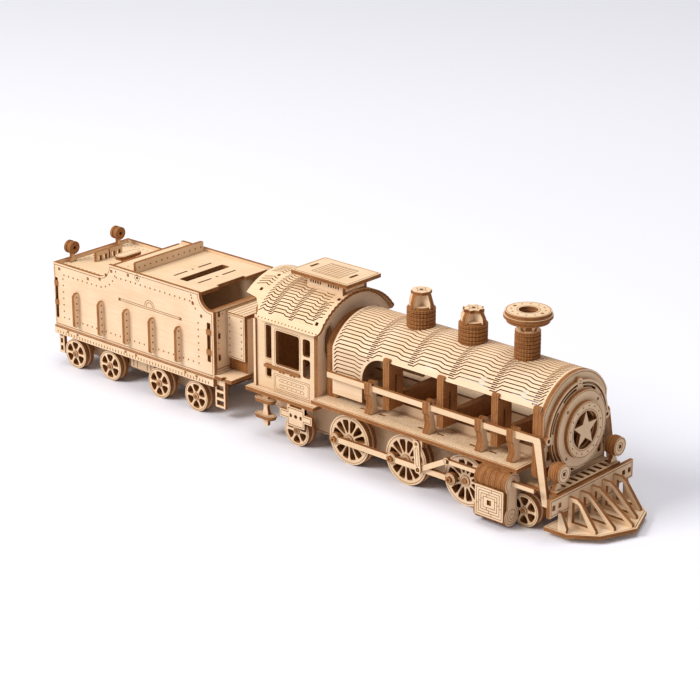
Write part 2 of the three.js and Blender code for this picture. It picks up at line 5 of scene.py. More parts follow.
import bmesh
import bpy
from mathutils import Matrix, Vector


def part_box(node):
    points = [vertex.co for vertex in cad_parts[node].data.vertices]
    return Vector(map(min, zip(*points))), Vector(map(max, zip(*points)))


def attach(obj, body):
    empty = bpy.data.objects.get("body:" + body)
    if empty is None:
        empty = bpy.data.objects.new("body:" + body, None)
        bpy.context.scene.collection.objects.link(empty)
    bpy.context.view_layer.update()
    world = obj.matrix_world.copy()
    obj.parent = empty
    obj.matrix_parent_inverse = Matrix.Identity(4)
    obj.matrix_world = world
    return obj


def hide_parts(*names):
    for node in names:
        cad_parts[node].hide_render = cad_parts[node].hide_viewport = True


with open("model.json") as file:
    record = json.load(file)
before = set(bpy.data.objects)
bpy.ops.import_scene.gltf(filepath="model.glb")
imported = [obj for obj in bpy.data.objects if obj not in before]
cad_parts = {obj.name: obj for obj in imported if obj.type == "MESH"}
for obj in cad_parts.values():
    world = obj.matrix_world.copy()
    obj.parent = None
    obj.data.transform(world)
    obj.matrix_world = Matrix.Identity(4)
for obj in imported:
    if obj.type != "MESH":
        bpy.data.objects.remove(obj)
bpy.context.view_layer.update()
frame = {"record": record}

# Everything is laid out in millimetres and made small when a piece becomes a mesh.
MM = 0.001
# Thickness of the plates and of the two bent skins, the plates' chamfer, and a loose fit.
SHEET = 2.0
SKIN = 1.5
CHAMFER = 0.09
GAP = 0.1
# Outer radius of the boiler shell and of the cab roof, the angle at which the shell turns down,
# and the radius that the cab's walls keep to under the roof.
SHELL_R = 27.3
SHELL_EDGE = 60
ROOF_R = 34.1
ROOF_INSIDE = ROOF_R - SKIN - 0.3
# How far the hub caps stand out of the wheels, and how far the ribs stand off the tender.
HUB_CAP = 1.2
RIB_DEPTH = 3.4
# Radii of the axles (and of the drawbar pin), of their holes, and of the valve link's round ends.
AXLE_R = 1.98
AXLE_HOLE = 2.2
LINK_R = 1.9
# How far the drawbar pin hangs under the cab floor's sheet.
PIN_DROP = 7.5
# Burnt lines: the usual and the fine width, and how far they stand over the face.
LINE = 0.38
FINE = 0.25
PROUD = 0.05
FORMERS = ("rear", "middle", "front")
SIDES = (("left", 1), ("right", -1))
BIRCH, EDGE, SCORCH, STIPPLE = range(4)

record = frame["record"]
BODIES = {node: body for body, nodes in record["behaviour"]["bodies"].items() for node in nodes}
draw = random.Random(11)


class Box:
    """Where a CAD node stands at rest, in millimetres."""

    def __init__(self, node):
        low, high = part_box(node)
        self.x0, self.y0, self.z0 = (value / MM for value in low)
        self.x1, self.y1, self.z1 = (value / MM for value in high)
        self.cx = (self.x0 + self.x1) / 2
        self.cy = (self.y0 + self.y1) / 2
        self.cz = (self.z0 + self.z1) / 2
        self.outer = max(abs(self.y0), abs(self.y1))
        self.inner = min(abs(self.y0), abs(self.y1))


# Middles of the handrail's four posts.
POST_XS = [Box("handrail_left").x0 + along for along in (27.5, 64.5, 96.5, 115.5)]


# ---- Outlines ----
def arc(cx, cy, r, start, end, steps):
    turns = [math.radians(start + (end - start) * i / steps) for i in range(steps + 1)]
    return [(cx + r * math.cos(a), cy + r * math.sin(a)) for a in turns]


def circle(cx, cy, r, sides=28):
    return arc(cx, cy, r, 0, 360, sides)[:-1]


def rect(x0, y0, x1, y1):
    return [(x0, y0), (x1, y0), (x1, y1), (x0, y1)]


def square(x, y, half):
    return rect(x - half, y - half, x + half, y + half)


def round_rect(x0, y0, x1, y1, r, steps=3):
    return (arc(x1 - r, y0 + r, r, -90, 0, steps) + arc(x1 - r, y1 - r, r, 0, 90, steps)
            + arc(x0 + r, y1 - r, r, 90, 180, steps) + arc(x0 + r, y0 + r, r, 180, 270, steps))


def capsule(ax, ay, bx, by, r, steps=8):
    """A bar with round ends, from one point to another."""
    along = math.degrees(math.atan2(by - ay, bx - ax))
    return (arc(bx, by, r, along - 90, along + 90, steps)
            + arc(ax, ay, r, along + 90, along + 270, steps))


def star(cx, cy, outer, inner, points, turn=90):
    spots = []
    for i in range(points * 2):
        r = inner if i % 2 else outer
        a = math.radians(turn + 180 * i / points)
        spots.append((cx + r * math.cos(a), cy + r * math.sin(a)))
    return spots


def fluted(cx, cy, r, teeth, depth, steps=4):
    """A circle with an even ripple."""
    count = teeth * steps
    spots = []
    for i in range(count):
        a = math.tau * i / count
        ripple = r - depth * (0.5 + 0.5 * math.cos(teeth * a))
        spots.append((cx + ripple * math.cos(a), cy + ripple * math.sin(a)))
    return spots


def softened(points, rounds=1):
    """Corners cut by Chaikin's rule."""
    for _ in range(rounds):
        pairs = zip(points, points[1:] + points[:1])
        points = [spot for p, q in pairs for spot in (blend_of(p, q, 0.25), blend_of(p, q, 0.75))]
    return points


def blend_of(p, q, share):
    return (p[0] + (q[0] - p[0]) * share, p[1] + (q[1] - p[1]) * share)


def moved(points, dx, dy):
    return [(x + dx, y + dy) for x, y in points]


def mirrored(points, sign=-1):
    return [(x * sign, y) for x, y in points]


def whole(right, middle=0.0):
    """The closed outline whose right half is given, mirrored about a middle line."""
    left = [(2 * middle - x, y) for x, y in reversed(right)]
    return left[-1:] + right + left[:-1]


def both_halves(half):
    """The closed outline of which one half is given, mirrored about the train's middle line."""
    return half + [(x, -y) for x, y in reversed(half)]


def area_of(points):
    pairs = zip(points, points[1:] + points[:1])
    return sum(p[0] * q[1] - q[0] * p[1] for p, q in pairs) / 2


def wound(points, way):
    return list(points) if area_of(points) * way > 0 else list(reversed(points))


def offset(points, distance, closed):
    """The line moved sideways to its left by a distance, mitred at the corners."""
    count = len(points)
    result = []
    for i, p in enumerate(points):
        before = points[i - 1] if closed or i > 0 else None
        after = points[(i + 1) % count] if closed or i < count - 1 else None
        normals = []
        for a, b in ((before, p), (p, after)):
            if a is not None and b is not None:
                dx, dy = b[0] - a[0], b[1] - a[1]
                size = math.hypot(dx, dy) or 1
                normals.append((-dy / size, dx / size))
        nx = sum(n[0] for n in normals) / len(normals)
        ny = sum(n[1] for n in normals) / len(normals)
        scale = distance / max(nx * nx + ny * ny, 0.25)
        result.append((p[0] + nx * scale, p[1] + ny * scale))
    return result


def ribbon(points, width):
    """The closed outline of an open line of some width."""
    return offset(points, -width / 2, False) + offset(points, width / 2, False)[::-1]


def softened_at(points, which):
    """The outline with only the named corners rounded off."""
    result = []
    for i, p in enumerate(points):
        if i in which:
            before, after = points[i - 1], points[(i + 1) % len(points)]
            shares = ((before, 0.12), (before, 0.03), (after, 0.03), (after, 0.08))
            result += [blend_of(p, q, share) for q, share in shares]
        else:
            result.append(p)
    return result


def bounds_of(points, grow=0.0):
    xs, ys = [x for x, _ in points], [y for _, y in points]
    return min(xs) - grow, min(ys) - grow, max(xs) + grow, max(ys) + grow


def grown(box, by):
    x0, y0, x1, y1 = box
    return x0 - by, y0 - by, x1 + by, y1 + by


def along_line(points, gap):
    """Spots at an even gap along an open line."""
    spots, left = [], gap / 2
    for p, q in zip(points, points[1:]):
        size = math.hypot(q[0] - p[0], q[1] - p[1])
        while left < size:
            spots.append(blend_of(p, q, left / size))
            left += gap
        left -= size
    return spots


def span(sign, inner, outer):
    """The stretch of Y from inner to outer, on the side that sign gives."""
    return (inner, outer) if sign > 0 else (-outer, -inner)


# ---- Solids ----
def filled(outer, holes, thickness, chamfer):
    """A flat slab with holes and chamfered rims, as vertices (a, b, height) and faces."""
    data = bpy.data.curves.new("flat", "CURVE")
    data.dimensions = "2D"
    data.fill_mode = "BOTH"
    data.extrude = thickness / 2 - chamfer
    data.bevel_depth = chamfer
    data.bevel_resolution = 0
    data.offset = -chamfer
    for loop in [wound(outer, 1)] + [wound(hole, -1) for hole in holes]:
        spline = data.splines.new("POLY")
        spline.points.add(len(loop) - 1)
        spline.use_cyclic_u = True
        for point, (a, b) in zip(spline.points, loop):
            point.co = (a, b, 0, 1)
    holder = bpy.data.objects.new("flat", data)
    mesh = bpy.data.meshes.new_from_object(holder)
    verts, number, seen = [], [], {}
    for vertex in mesh.vertices:
        key = tuple(round(value, 4) for value in vertex.co)
        if key not in seen:
            seen[key] = len(verts)
            verts.append(tuple(vertex.co))
        number.append(seen[key])
    faces = []
    for polygon in mesh.polygons:
        corners = list(dict.fromkeys(number[i] for i in polygon.vertices))
        if len(corners) > 2:
            faces.append(corners)
    bpy.data.objects.remove(holder)
    bpy.data.meshes.remove(mesh)
    bpy.data.curves.remove(data)
    return verts, faces


def prism(outline, thickness):
    """A slab over one convex outline, with sharp rims."""
    outline = wound(outline, 1)
    count = len(outline)
    half = thickness / 2
    verts = [(a, b, -half) for a, b in outline] + [(a, b, half) for a, b in outline]
    faces = [list(range(count - 1, -1, -1)), list(range(count, 2 * count))]
    for i in range(count):
        j = (i + 1) % count
        faces.append([i, j, j + count, i + count])
    return verts, faces


PLACE = {
    "X": lambda a, b, h, mid: (mid + h, a, b),
    "Y": lambda a, b, h, mid: (a, mid - h, b),
    "Z": lambda a, b, h, mid: (a, b, mid + h),
}


def normal_of(verts, face):
    total = Vector((0, 0, 0))
    for i, index in enumerate(face):
        total += Vector(verts[index]).cross(Vector(verts[face[(i + 1) % len(face)]]))
    return total.normalized()


class Piece:
    """One visible piece: plates and marks that are collected, then made into one mesh."""

    def __init__(self, node):
        self.node = node
        self.box = Box(node)
        self.verts = []
        self.faces = []
        self.looks = []
        self.ply = []
        self.tones = []

    def take(self, verts, faces, looks, ply, tone):
        first = len(self.verts)
        self.verts += verts
        self.faces += [[first + index for index in face] for face in faces]
        self.looks += looks
        self.ply += ply
        self.tones += [tone] * len(faces)

    def slab(self, normal, low, high, shape, thickness, face_look, edge_look):
        """Places a flat shape, made about its own middle, across an axis between two heights."""
        verts, faces = shape
        looks = [face_look if abs(normal_of(verts, face).z) > 0.95 else edge_look for face in faces]
        place, mid = PLACE[normal], (low + high) / 2
        ply = [2 * h / thickness for _, _, h in verts]
        self.take([place(a, b, h, mid) for a, b, h in verts], faces, looks, ply, draw.random())

    def plate(self, normal, low, high, outline, holes=(), look=BIRCH):
        thickness = high - low
        self.slab(normal, low, high, filled(outline, holes, thickness, CHAMFER), thickness, look, EDGE)

    def wall(self, sign, inner, outer, outline, holes=(), look=BIRCH):
        """A plate that stands along the train, on the side that sign gives."""
        self.plate("Y", *span(sign, inner, outer), outline, holes, look)

    def disc(self, normal, low, high, a, b, r, sides=28, look=BIRCH):
        self.plate(normal, low, high, circle(a, b, r, sides), look=look)

    def mark(self, normal, at, out, outline, holes=()):
        """A scorched line or patch that stands a hair over the face it is burnt into."""
        low, high = sorted((at - 2 * PROUD * out, at + PROUD * out))
        shape = filled(outline, holes, high - low, 0) if holes else prism(outline, high - low)
        self.slab(normal, low, high, shape, high - low, SCORCH, SCORCH)

    def strokes(self, normal, at, out, points, width=LINE):
        """A burnt line along points, laid down as one short bar for each stretch."""
        for p, q in zip(points, points[1:]):
            self.mark(normal, at, out, ribbon([p, q], width))

    def loop(self, normal, at, out, points, width=LINE):
        inner = offset(wound(points, 1), width, True)
        self.mark(normal, at, out, wound(points, 1), [inner])

    def ring(self, normal, at, out, a, b, r, width=LINE, sides=28):
        self.mark(normal, at, out, circle(a, b, r, sides), [circle(a, b, r - width, sides)])

    def dots(self, normal, at, out, centres, r=0.4):
        for a, b in centres:
            self.mark(normal, at, out, circle(a, b, r, 7))

    def ship(self):
        """Makes the mesh, which rides on its CAD node's body and stands for that node."""
        mesh = bpy.data.meshes.new(self.node)
        mesh.from_pydata([Vector(v) * MM for v in self.verts], [], self.faces)
        for material in MATERIALS:
            mesh.materials.append(material)
        mesh.polygons.foreach_set("material_index", self.looks)
        mesh.polygons.foreach_set("use_smooth", [True] * len(self.faces))
        ply = mesh.attributes.new("ply", "FLOAT", "POINT")
        ply.data.foreach_set("value", self.ply)
        tone = mesh.attributes.new("tone", "FLOAT", "FACE")
        tone.data.foreach_set("value", self.tones)
        mesh.set_sharp_from_angle(angle=math.radians(35))
        mesh.update()
        piece = bpy.data.objects.new(self.node, mesh)
        bpy.context.scene.collection.objects.link(piece)
        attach(piece, BODIES[self.node])
        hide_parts(self.node)


def both(stem):
    """The left and the right piece of a pair, each shipped once it has been filled."""
    for side, sign in SIDES:
        piece = Piece(f"{stem}_{side}")
        yield piece, piece.box, side, sign
        piece.ship()


# ---- Materials ----
def colour(red, green, blue):
    """An sRGB colour of 0 to 255 as the linear values a socket takes."""
    def linear(value):
        value /= 255
        return value / 12.92 if value <= 0.04045 else ((value + 0.055) / 1.055) ** 2.4
    return (linear(red), linear(green), linear(blue), 1)


class Nodes:
    """Short forms for building a material's nodes."""

    def __init__(self, name):
        self.material = bpy.data.materials.new(name)
        self.material.use_nodes = True
        self.tree = self.material.node_tree
        self.shader = self.tree.nodes["Principled BSDF"]

    def add(self, kind, values=None, **settings):
        node = self.tree.nodes.new(kind)
        for key, value in settings.items():
            setattr(node, key, value)
        for key, value in (values or {}).items():
            self.feed(node.inputs[key], value)
        return node

    def feed(self, socket, value):
        if isinstance(value, bpy.types.NodeSocket):
            self.tree.links.new(value, socket)
        else:
            socket.default_value = value

    def attribute(self, name):
        return self.add("ShaderNodeAttribute", attribute_name=name).outputs["Fac"]

    def place(self):
        """Object coordinates, shifted by the plate's tone so that no two plates match."""
        where = self.add("ShaderNodeTexCoord").outputs["Object"]
        tone = self.attribute("tone")
        shift = self.add("ShaderNodeVectorMath", {0: (7.1, 3.3, 5.7), "Scale": tone}, operation="SCALE")
        total = self.add("ShaderNodeVectorMath", {0: where, 1: shift.outputs["Vector"]}, operation="ADD")
        return total.outputs["Vector"]

    def stretched(self, where, scale):
        return self.add("ShaderNodeMapping", {"Vector": where, "Scale": scale}).outputs["Vector"]

    def noise(self, where, scale, detail=3.0, roughness=0.5):
        values = {"Vector": where, "Scale": scale, "Detail": detail, "Roughness": roughness}
        return self.add("ShaderNodeTexNoise", values).outputs["Fac"]

    def ranged(self, value, low, high, to_low=0.0, to_high=1.0):
        values = {0: value, 1: low, 2: high, 3: to_low, 4: to_high}
        return self.add("ShaderNodeMapRange", values).outputs[0]

    def maths(self, operation, first, second=0.0):
        return self.add("ShaderNodeMath", {0: first, 1: second}, operation=operation).outputs[0]

    def mix(self, share, first, second):
        node = self.add("ShaderNodeMix", data_type="RGBA")
        self.feed(node.inputs[0], share)
        self.feed(node.inputs[6], first)
        self.feed(node.inputs[7], second)
        return node.outputs[2]

    def bump(self, height, strength, distance):
        values = {"Height": height, "Strength": strength, "Distance": distance}
        self.feed(self.shader.inputs["Normal"], self.add("ShaderNodeBump", values).outputs["Normal"])

    def finish(self, base, roughness):
        self.feed(self.shader.inputs["Base Color"], base)
        self.feed(self.shader.inputs["Roughness"], roughness)
        self.feed(self.shader.inputs["Specular IOR Level"], 0.25)
        return self.material


def birch_colour(nodes):
    """Pale sanded birch: fine grain along X, soft clouds, and a small change from plate to plate."""
    where = nodes.place()
    grain = nodes.noise(nodes.stretched(where, (60, 1500, 1500)), 1.0, 4.0, 0.6)
    fibres = nodes.ranged(grain, 0.42, 0.68)
    clouds = nodes.ranged(nodes.noise(where, 55, 2.0), 0.35, 0.7)
    base = nodes.mix(clouds, colour(232, 204, 172), colour(221, 190, 154))
    base = nodes.mix(nodes.maths("MULTIPLY", fibres, 0.35), base, colour(206, 164, 113))
    tone = nodes.ranged(nodes.attribute("tone"), 0, 1, 0.0, 0.30)
    return nodes.mix(tone, base, colour(220, 183, 134)), grain


def birch_material():
    nodes = Nodes("birch_face")
    base, grain = birch_colour(nodes)
    nodes.bump(grain, 0.12, 0.0002)
    return nodes.finish(base, 0.62)


def edge_material():
    """Laser-burnt plywood edge: brown plies with streaks across them."""
    nodes = Nodes("burnt_edge")
    where = nodes.place()
    ply = nodes.maths("ABSOLUTE", nodes.attribute("ply"))
    core = nodes.ranged(ply, 0.25, 0.45)
    streaks = nodes.ranged(nodes.noise(where, 900, 3.0), 0.35, 0.65)
    patches = nodes.ranged(nodes.noise(where, 120, 2.0), 0.3, 0.7)
    base = nodes.mix(core, colour(124, 72, 34), colour(160, 104, 54))
    base = nodes.mix(nodes.maths("MULTIPLY", streaks, 0.5), base, colour(94, 50, 22))
    base = nodes.mix(nodes.maths("MULTIPLY", patches, 0.4), base, colour(174, 120, 68))
    nodes.bump(streaks, 0.25, 0.0002)
    return nodes.finish(base, 0.75)


def scorch_material():
    """The brown of a line that the laser burnt into a face."""
    nodes = Nodes("scorched_line")
    where = nodes.place()
    depth = nodes.ranged(nodes.noise(where, 700, 2.0), 0.3, 0.7)
    base = nodes.mix(depth, colour(150, 96, 50), colour(112, 66, 30))
    return nodes.finish(base, 0.8)


def stipple_material():
    """Birch covered with small burnt dots, for the walkways."""
    nodes = Nodes("stippled_face")
    base, grain = birch_colour(nodes)
    where = nodes.add("ShaderNodeTexCoord").outputs["Object"]
    cells = nodes.add("ShaderNodeTexVoronoi", {"Vector": where, "Scale": 900.0, "Randomness": 0.25})
    spots = nodes.ranged(cells.outputs["Distance"], 0.22, 0.36, 1.0, 0.0)
    base = nodes.mix(nodes.maths("MULTIPLY", spots, 0.75), base, colour(150, 98, 52))
    nodes.bump(nodes.maths("ADD", grain, spots), 0.3, -0.0003)
    return nodes.finish(base, 0.7)


MATERIALS = (birch_material(), edge_material(), scorch_material(), stipple_material())


# ---- Wheels and running gear ----
def spoke_gap(cx, cz, r, turn, half, inner_share):
    """The opening between two spokes, from the hub to the rim."""
    outer = arc(0, 0, 0.8 * r, turn - half * 0.8, turn + half * 0.8, 2)
    inner = arc(0, 0, inner_share * r, turn + half * 0.6, turn - half * 0.6, 1)
    return moved(softened(outer + inner), cx, cz)


def axle_wheels(piece, cx, cz, r, outer, gaps, inner_share, cap_r):
    """Both wheels of an axle: two holed discs with a smaller one between them, and a hub cap."""
    half = 180 / gaps
    holes = [spoke_gap(cx, cz, r, 2 * half * (i + 0.5), half, inner_share) for i in range(gaps)]
    piece.disc("Y", -outer + 1, outer - 1, cx, cz, AXLE_R, 20, EDGE)
    for _, sign in SIDES:
        layers = ((outer - 2, outer, r), (outer - 3.6, outer - 2, r - 1), (outer - 6, outer - 3.6, r))
        for inner_y, outer_y, layer_r in layers:
            piece.wall(sign, inner_y, outer_y, circle(cx, cz, layer_r, 48), holes)
        piece.disc("Y", *span(sign, outer - 0.1, outer + 0.6), cx, cz, cap_r)
        piece.disc("Y", *span(sign, outer + 0.5, outer + 1.2), cx, cz, cap_r * 0.55, 16, EDGE)
        face = sign * outer
        piece.ring("Y", face, sign, cx, cz, 0.93 * r, FINE, 40)
        piece.ring("Y", face + 0.6 * sign, sign, cx, cz, cap_r * 0.85, FINE, 20)


def driver_wheels():
    """The three driving axles, each with a crank pin and a nut at both ends."""
    outer = Box("trailing_wheelset").outer - HUB_CAP
    rod = Box("side_rod_left")
    for i in (1, 2, 3):
        node = f"driver_wheelset_{i}"
        b = Box(node)
        r = (b.z1 - b.z0) / 2
        cz = b.z0 + r
        pin_x = b.cx - (Box("driver_wheelset_2").cx - rod.cx) - 0.05
        piece = Piece(node)
        axle_wheels(piece, b.cx, cz, r, outer, 12, 0.3, 2.8)
        for _, sign in SIDES:
            stack = ((outer - 1, rod.y0 - 0.1, 1.7), (rod.y0 - 0.5, rod.y1 + 0.6, 1.08))
            for inner_y, outer_y, pin_r in stack:
                piece.disc("Y", *span(sign, inner_y, outer_y), pin_x, cz, pin_r, 14, EDGE)
            nut = star(pin_x, cz, 1.9, 1.55, 6)
            piece.wall(sign, rod.y1 + GAP, b.y1, nut, [circle(pin_x, cz, 0.6, 8)], EDGE)
        piece.ship()


def carrier_wheels():
    """The trailing, pilot and tender axles."""
    nodes = ["trailing_wheelset", "pilot_wheelset"] + [f"tender_wheelset_{i}" for i in (1, 2, 3, 4)]
    for node in nodes:
        b = Box(node)
        r = (b.z1 - b.z0) / 2
        piece = Piece(node)
        axle_wheels(piece, b.cx, b.z0 + r, r, b.outer - HUB_CAP, 6, 0.32, 2.0)
        piece.ship()


def rod_outline(centres, cz, boss, half):
    """One bar through several round bosses."""
    meet = math.degrees(math.asin(half / boss))
    first, *middle, last = centres
    points = arc(first, cz, boss, meet, 360 - meet, 16)
    for x in middle:
        points += arc(x, cz, boss, 180 + meet, 360 - meet, 8)
    points += arc(last, cz, boss, 180 + meet, 540 - meet, 16)
    for x in reversed(middle):
        points += arc(x, cz, boss, meet, 180 - meet, 8)
    return points


def side_rods():
    """The rod that joins the three crank pins of a side."""
    axles = [Box(f"driver_wheelset_{i}").cx for i in (1, 2, 3)]
    for piece, b, _, sign in both("side_rod"):
        boss = (b.z1 - b.z0) / 2
        crank = axles[0] - (b.x0 + boss)
        pins = [x - crank for x in axles]
        bores = [circle(x, b.cz, 1.25, 14) for x in pins]
        piece.plate("Y", b.y0, b.y1, rod_outline(pins, b.cz, boss, 1.5), bores)
        for x in pins:
            piece.ring("Y", sign * b.outer, sign, x, b.cz, boss - 0.4, FINE, 24)


def valve_gear():
    """On each side a valve rod with its radius arm, and the link that it hangs from."""
    for side, sign in SIDES:
        node = f"valve_rod_{side}"
        b = Box(node)
        link = Box(f"valve_link_{side}")
        corner = (link.x1 - LINK_R, link.z0 + LINK_R)
        pivot = (link.x0 + LINK_R, link.z1 - LINK_R)
        head = (corner[0] + 17.3, corner[1] + 9.4)
        piece = Piece(node)
        bar = rect(head[0], head[1] - 1.1, b.x1, head[1] + 1.1)
        piece.wall(sign, b.inner, b.inner + 1.9, bar)
        piece.disc("Y", *span(sign, b.inner, b.inner + 1.9), *head, 1.9)
        arm = span(sign, b.inner, b.inner + 1)
        piece.plate("Y", *arm, capsule(*corner, *head, 1.4))
        piece.disc("Y", *arm, *corner, 1.5, 20)
        piece.ring("Y", sign * (b.inner + 1.9), sign, *head, 1.4, FINE, 16)
        piece.disc("Y", *span(sign, b.inner + 0.4, link.outer), *corner, 0.6, 10, EDGE)
        piece.ship()
        node = f"valve_link_{side}"
        piece = Piece(node)
        holes = [circle(*corner, 1.1, 12), circle(*pivot, 0.9, 12)]
        piece.plate("Y", link.y0, link.y1, capsule(*corner, *pivot, LINK_R), holes)
        inner_line = capsule(*blend_of(corner, pivot, 0.2), *blend_of(corner, pivot, 0.8), 0.9, 5)
        piece.loop("Y", sign * link.outer, sign, inner_line, FINE)
        piece.ship()


def frames():
    """The long upright plates that hold the axles, with a border line on the outer face."""
    cab, board, pilot_z = Box("cab_floor"), Box("running_board"), Box("pilot_deck").z0 - GAP
    nose_z = Box("buffer_beam").z0 + 4.2
    floor_z = cab.z1 - SHEET - GAP
    names = ["trailing_wheelset", *(f"driver_wheelset_{i}" for i in (1, 2, 3)), "pilot_wheelset"]
    axles = [Box(name) for name in names]
    holes = [circle(axle.cx, axle.cz, AXLE_HOLE, 20) for axle in axles]
    holes += [round_rect(x, 20, x + 9, 24.5, 1.5) for x in (44, 80, 118)]
    for piece, b, _, sign in both("frame"):
        outline = [
            (b.x0, 14), (b.x0 + 13, b.z0), (b.x1 - 10.7, b.z0), (b.x1, nose_z), (b.x1, pilot_z),
            (board.x1, pilot_z), (board.x1, b.z1), (board.x0, b.z1), (board.x0, floor_z), (b.x0, floor_z),
        ]
        piece.plate("Y", b.y0, b.y1, outline, holes)
        piece.loop("Y", sign * b.outer, sign, offset(outline, 0.9, True))


def figure_eight(y, low, high, r):
    """Two round lobes joined by a narrower waist."""
    meet = math.degrees(math.asin(0.7))
    return arc(y, high, r, -90 + meet, 270 - meet, 36) + arc(y, low, r, 90 + meet, 450 - meet, 36)


def cylinder_marks(piece, x, y, low, high, r):
    """A contour line inside the end plate's rim, and a curl in its lower lobe."""
    piece.loop("X", x, 1, wound(figure_eight(y, low, high, r - 0.9), 1), FINE)
    piece.ring("X", x, 1, y, low, 3.2, FINE, 24)
    curl = []
    for i in range(12):
        reach, a = 0.6 + 0.16 * i, 0.6 * i
        curl.append((y + reach * math.cos(a), low + reach * math.sin(a)))
    piece.strokes("X", x, 1, curl, FINE)


def cylinder_cover(piece, b, sign):
    """The square plate on the outer side, engraved like a maze round a small square hole."""
    x0, x1 = b.x0 + 1.1, b.x1 - 0.55
    z0, z1 = b.z0 + 3.3, b.z0 + 18.8
    cx, cz = (x0 + x1) / 2, (z0 + z1) / 2
    piece.wall(sign, b.outer - 2.5, b.outer - 1.05, rect(x0 + 0.6, z0 + 0.6, x1 - 0.6, z1 - 0.6), look=EDGE)
    window = square(cx, cz, 1.2)
    piece.wall(sign, b.outer - 1, b.outer, round_rect(x0, z0, x1, z1, 0.6), [window])
    face = sign * b.outer
    margin, step, width = 0.9, 1.35, 0.28
    for i in range(4):
        gap = margin + step * i
        piece.loop("Y", face, sign, rect(x0 + gap, z0 + gap, x1 - gap, z1 - gap), width)
    for i in range(3):
        reach = (x1 - x0) / 2 - margin - step * i
        tall = (z1 - z0) / 2 - margin - step * i
        shift = 1.4 * (i - 1)
        for k in (-1, 1):
            across = [(cx + k * reach, cz + shift), (cx + k * (reach - step), cz + shift)]
            piece.strokes("Y", face, sign, across, width)
            upright = [(cx - shift, cz + k * tall), (cx - shift, cz + k * (tall - step))]
            piece.strokes("Y", face, sign, upright, width)


def cylinders():
    """Ten burnt layers behind a pale end plate, hung from the running board outside the wheels."""
    r, layers = 5.4, 10
    for piece, b, side, sign in both("cylinder"):
        rod, board = Box(f"valve_rod_{side}"), Box("running_board")
        y = sign * (b.inner + r)
        low, high = b.z0 + r, b.z0 + r + 16
        bar_z = Box(f"valve_link_{side}").z0 + 11.3
        near, far = span(sign, rod.inner - 0.15, rod.inner + 2.05)
        bore = rect(near, bar_z - 1.3, far, bar_z + 1.3)
        pitch = (b.x1 - 1 - b.x0) / layers
        for i in range(layers):
            x = b.x0 + i * pitch
            outline = figure_eight(y, low, high, r - 0.2 * (i % 2))
            piece.plate("X", x, x + pitch - 0.1, outline, [bore], EDGE)
        piece.plate("X", b.x1 - 1, b.x1, figure_eight(y, low, high, r), [bore])
        block = span(sign, b.inner + 1.6, board.outer)
        mount = rect(block[0], high + 2, block[1], b.z1)
        piece.plate("X", b.x0 + 1, b.x1 - 1, mount, look=EDGE)
        cylinder_marks(piece, b.x1, y, low, high, r)
        cylinder_cover(piece, b, sign)


# ---- Boiler ----
def skin_point(s, depth, r, edge_deg, bend_r):
    """Where a spot of the flat sheet lands across the train and up, once the sheet is bent.

    The spot lies s from the crown along the outer face, and depth under that face.
    """
    run = math.radians(edge_deg) * r
    side = -1 if s < 0 else 1
    s = abs(s)
    if s <= run or not bend_r:
        a = s / r
        return side * (r - depth) * math.sin(a), (r - depth) * math.cos(a)
    edge = math.radians(edge_deg)
    cy, cz = (r - bend_r) * math.sin(edge), (r - bend_r) * math.cos(edge)
    a = min(edge + (s - run) / bend_r, math.pi / 2)
    drop = max(0, s - run - (math.pi / 2 - edge) * bend_r)
    return side * (cy + (bend_r - depth) * math.sin(a)), cz + (bend_r - depth) * math.cos(a) - drop


def bent_skin(piece, outline, slits, thickness, cz, r, edge_deg, bend_r):
    """A flat sheet, holed while flat, creased at even steps, then bent over a curve."""
    verts, faces = filled(outline, slits, thickness, 0.05)
    looks = [BIRCH if abs(normal_of(verts, face).z) > 0.95 else EDGE for face in faces]
    sheet = bmesh.new()
    corners = [sheet.verts.new(v) for v in verts]
    for face, look in zip(faces, looks):
        sheet.faces.new([corners[i] for i in face]).material_index = look
    reach = max(abs(b) for _, b in outline)
    step = math.radians(3) * r
    count = int(reach / step) + 1
    creases = [i * step for i in range(-count, count + 1)]
    if bend_r:
        run, bend = math.radians(edge_deg) * r, math.radians(90 - edge_deg) * bend_r
        creases += [s * (run + bend * i / 3) for s in (1, -1) for i in range(1, 4)]
    for at in creases:
        parts = list(sheet.verts) + list(sheet.edges) + list(sheet.faces)
        bmesh.ops.bisect_plane(sheet, geom=parts, dist=1e-5, plane_co=(0, at, 0), plane_no=(0, 1, 0))
    sheet.verts.index_update()
    placed = []
    ply = []
    for vertex in sheet.verts:
        x, s, h = vertex.co
        y, z = skin_point(s, thickness / 2 - h, r, edge_deg, bend_r)
        placed.append((x, -y, cz + z))
        ply.append(2 * h / thickness)
    loops = [[v.index for v in face.verts] for face in sheet.faces]
    piece.take(placed, loops, [face.material_index for face in sheet.faces], ply, draw.random())
    sheet.free()


def wavy_slits(x0, limit, half, pitch, period, start, width=0.5):
    """Rows of stepped slits that let a sheet bend: low run, ramp, high run and a tail."""
    rows = int(half / pitch)
    scale = period / 25
    wave = ((0, 0.55), (3.5, 0.55), (5.5, -0.35), (17, -0.45), (20, 0.0), (28, 0.0))
    slits = []
    for row in range(-rows, rows + 1):
        at = x0 + start
        # Neighbouring rows end a little apart, so no three slit ends lie on one line.
        margin = 1.1 + 0.09 * (row % 3) + 0.05 * (row % 2)
        end = limit((abs(row) + 0.6) * pitch)
        while at < end - 2:
            line = []
            for dx, share in wave:
                x = min(max(at + dx * scale, x0 + margin), end - margin)
                line.append((x, (row + share) * pitch))
            kept = [p for i, p in enumerate(line) if i == 0 or p[0] - line[i - 1][0] > 0.3]
            if len(kept) > 1:
                slits.append(ribbon(kept, width))
            at += period
    return slits


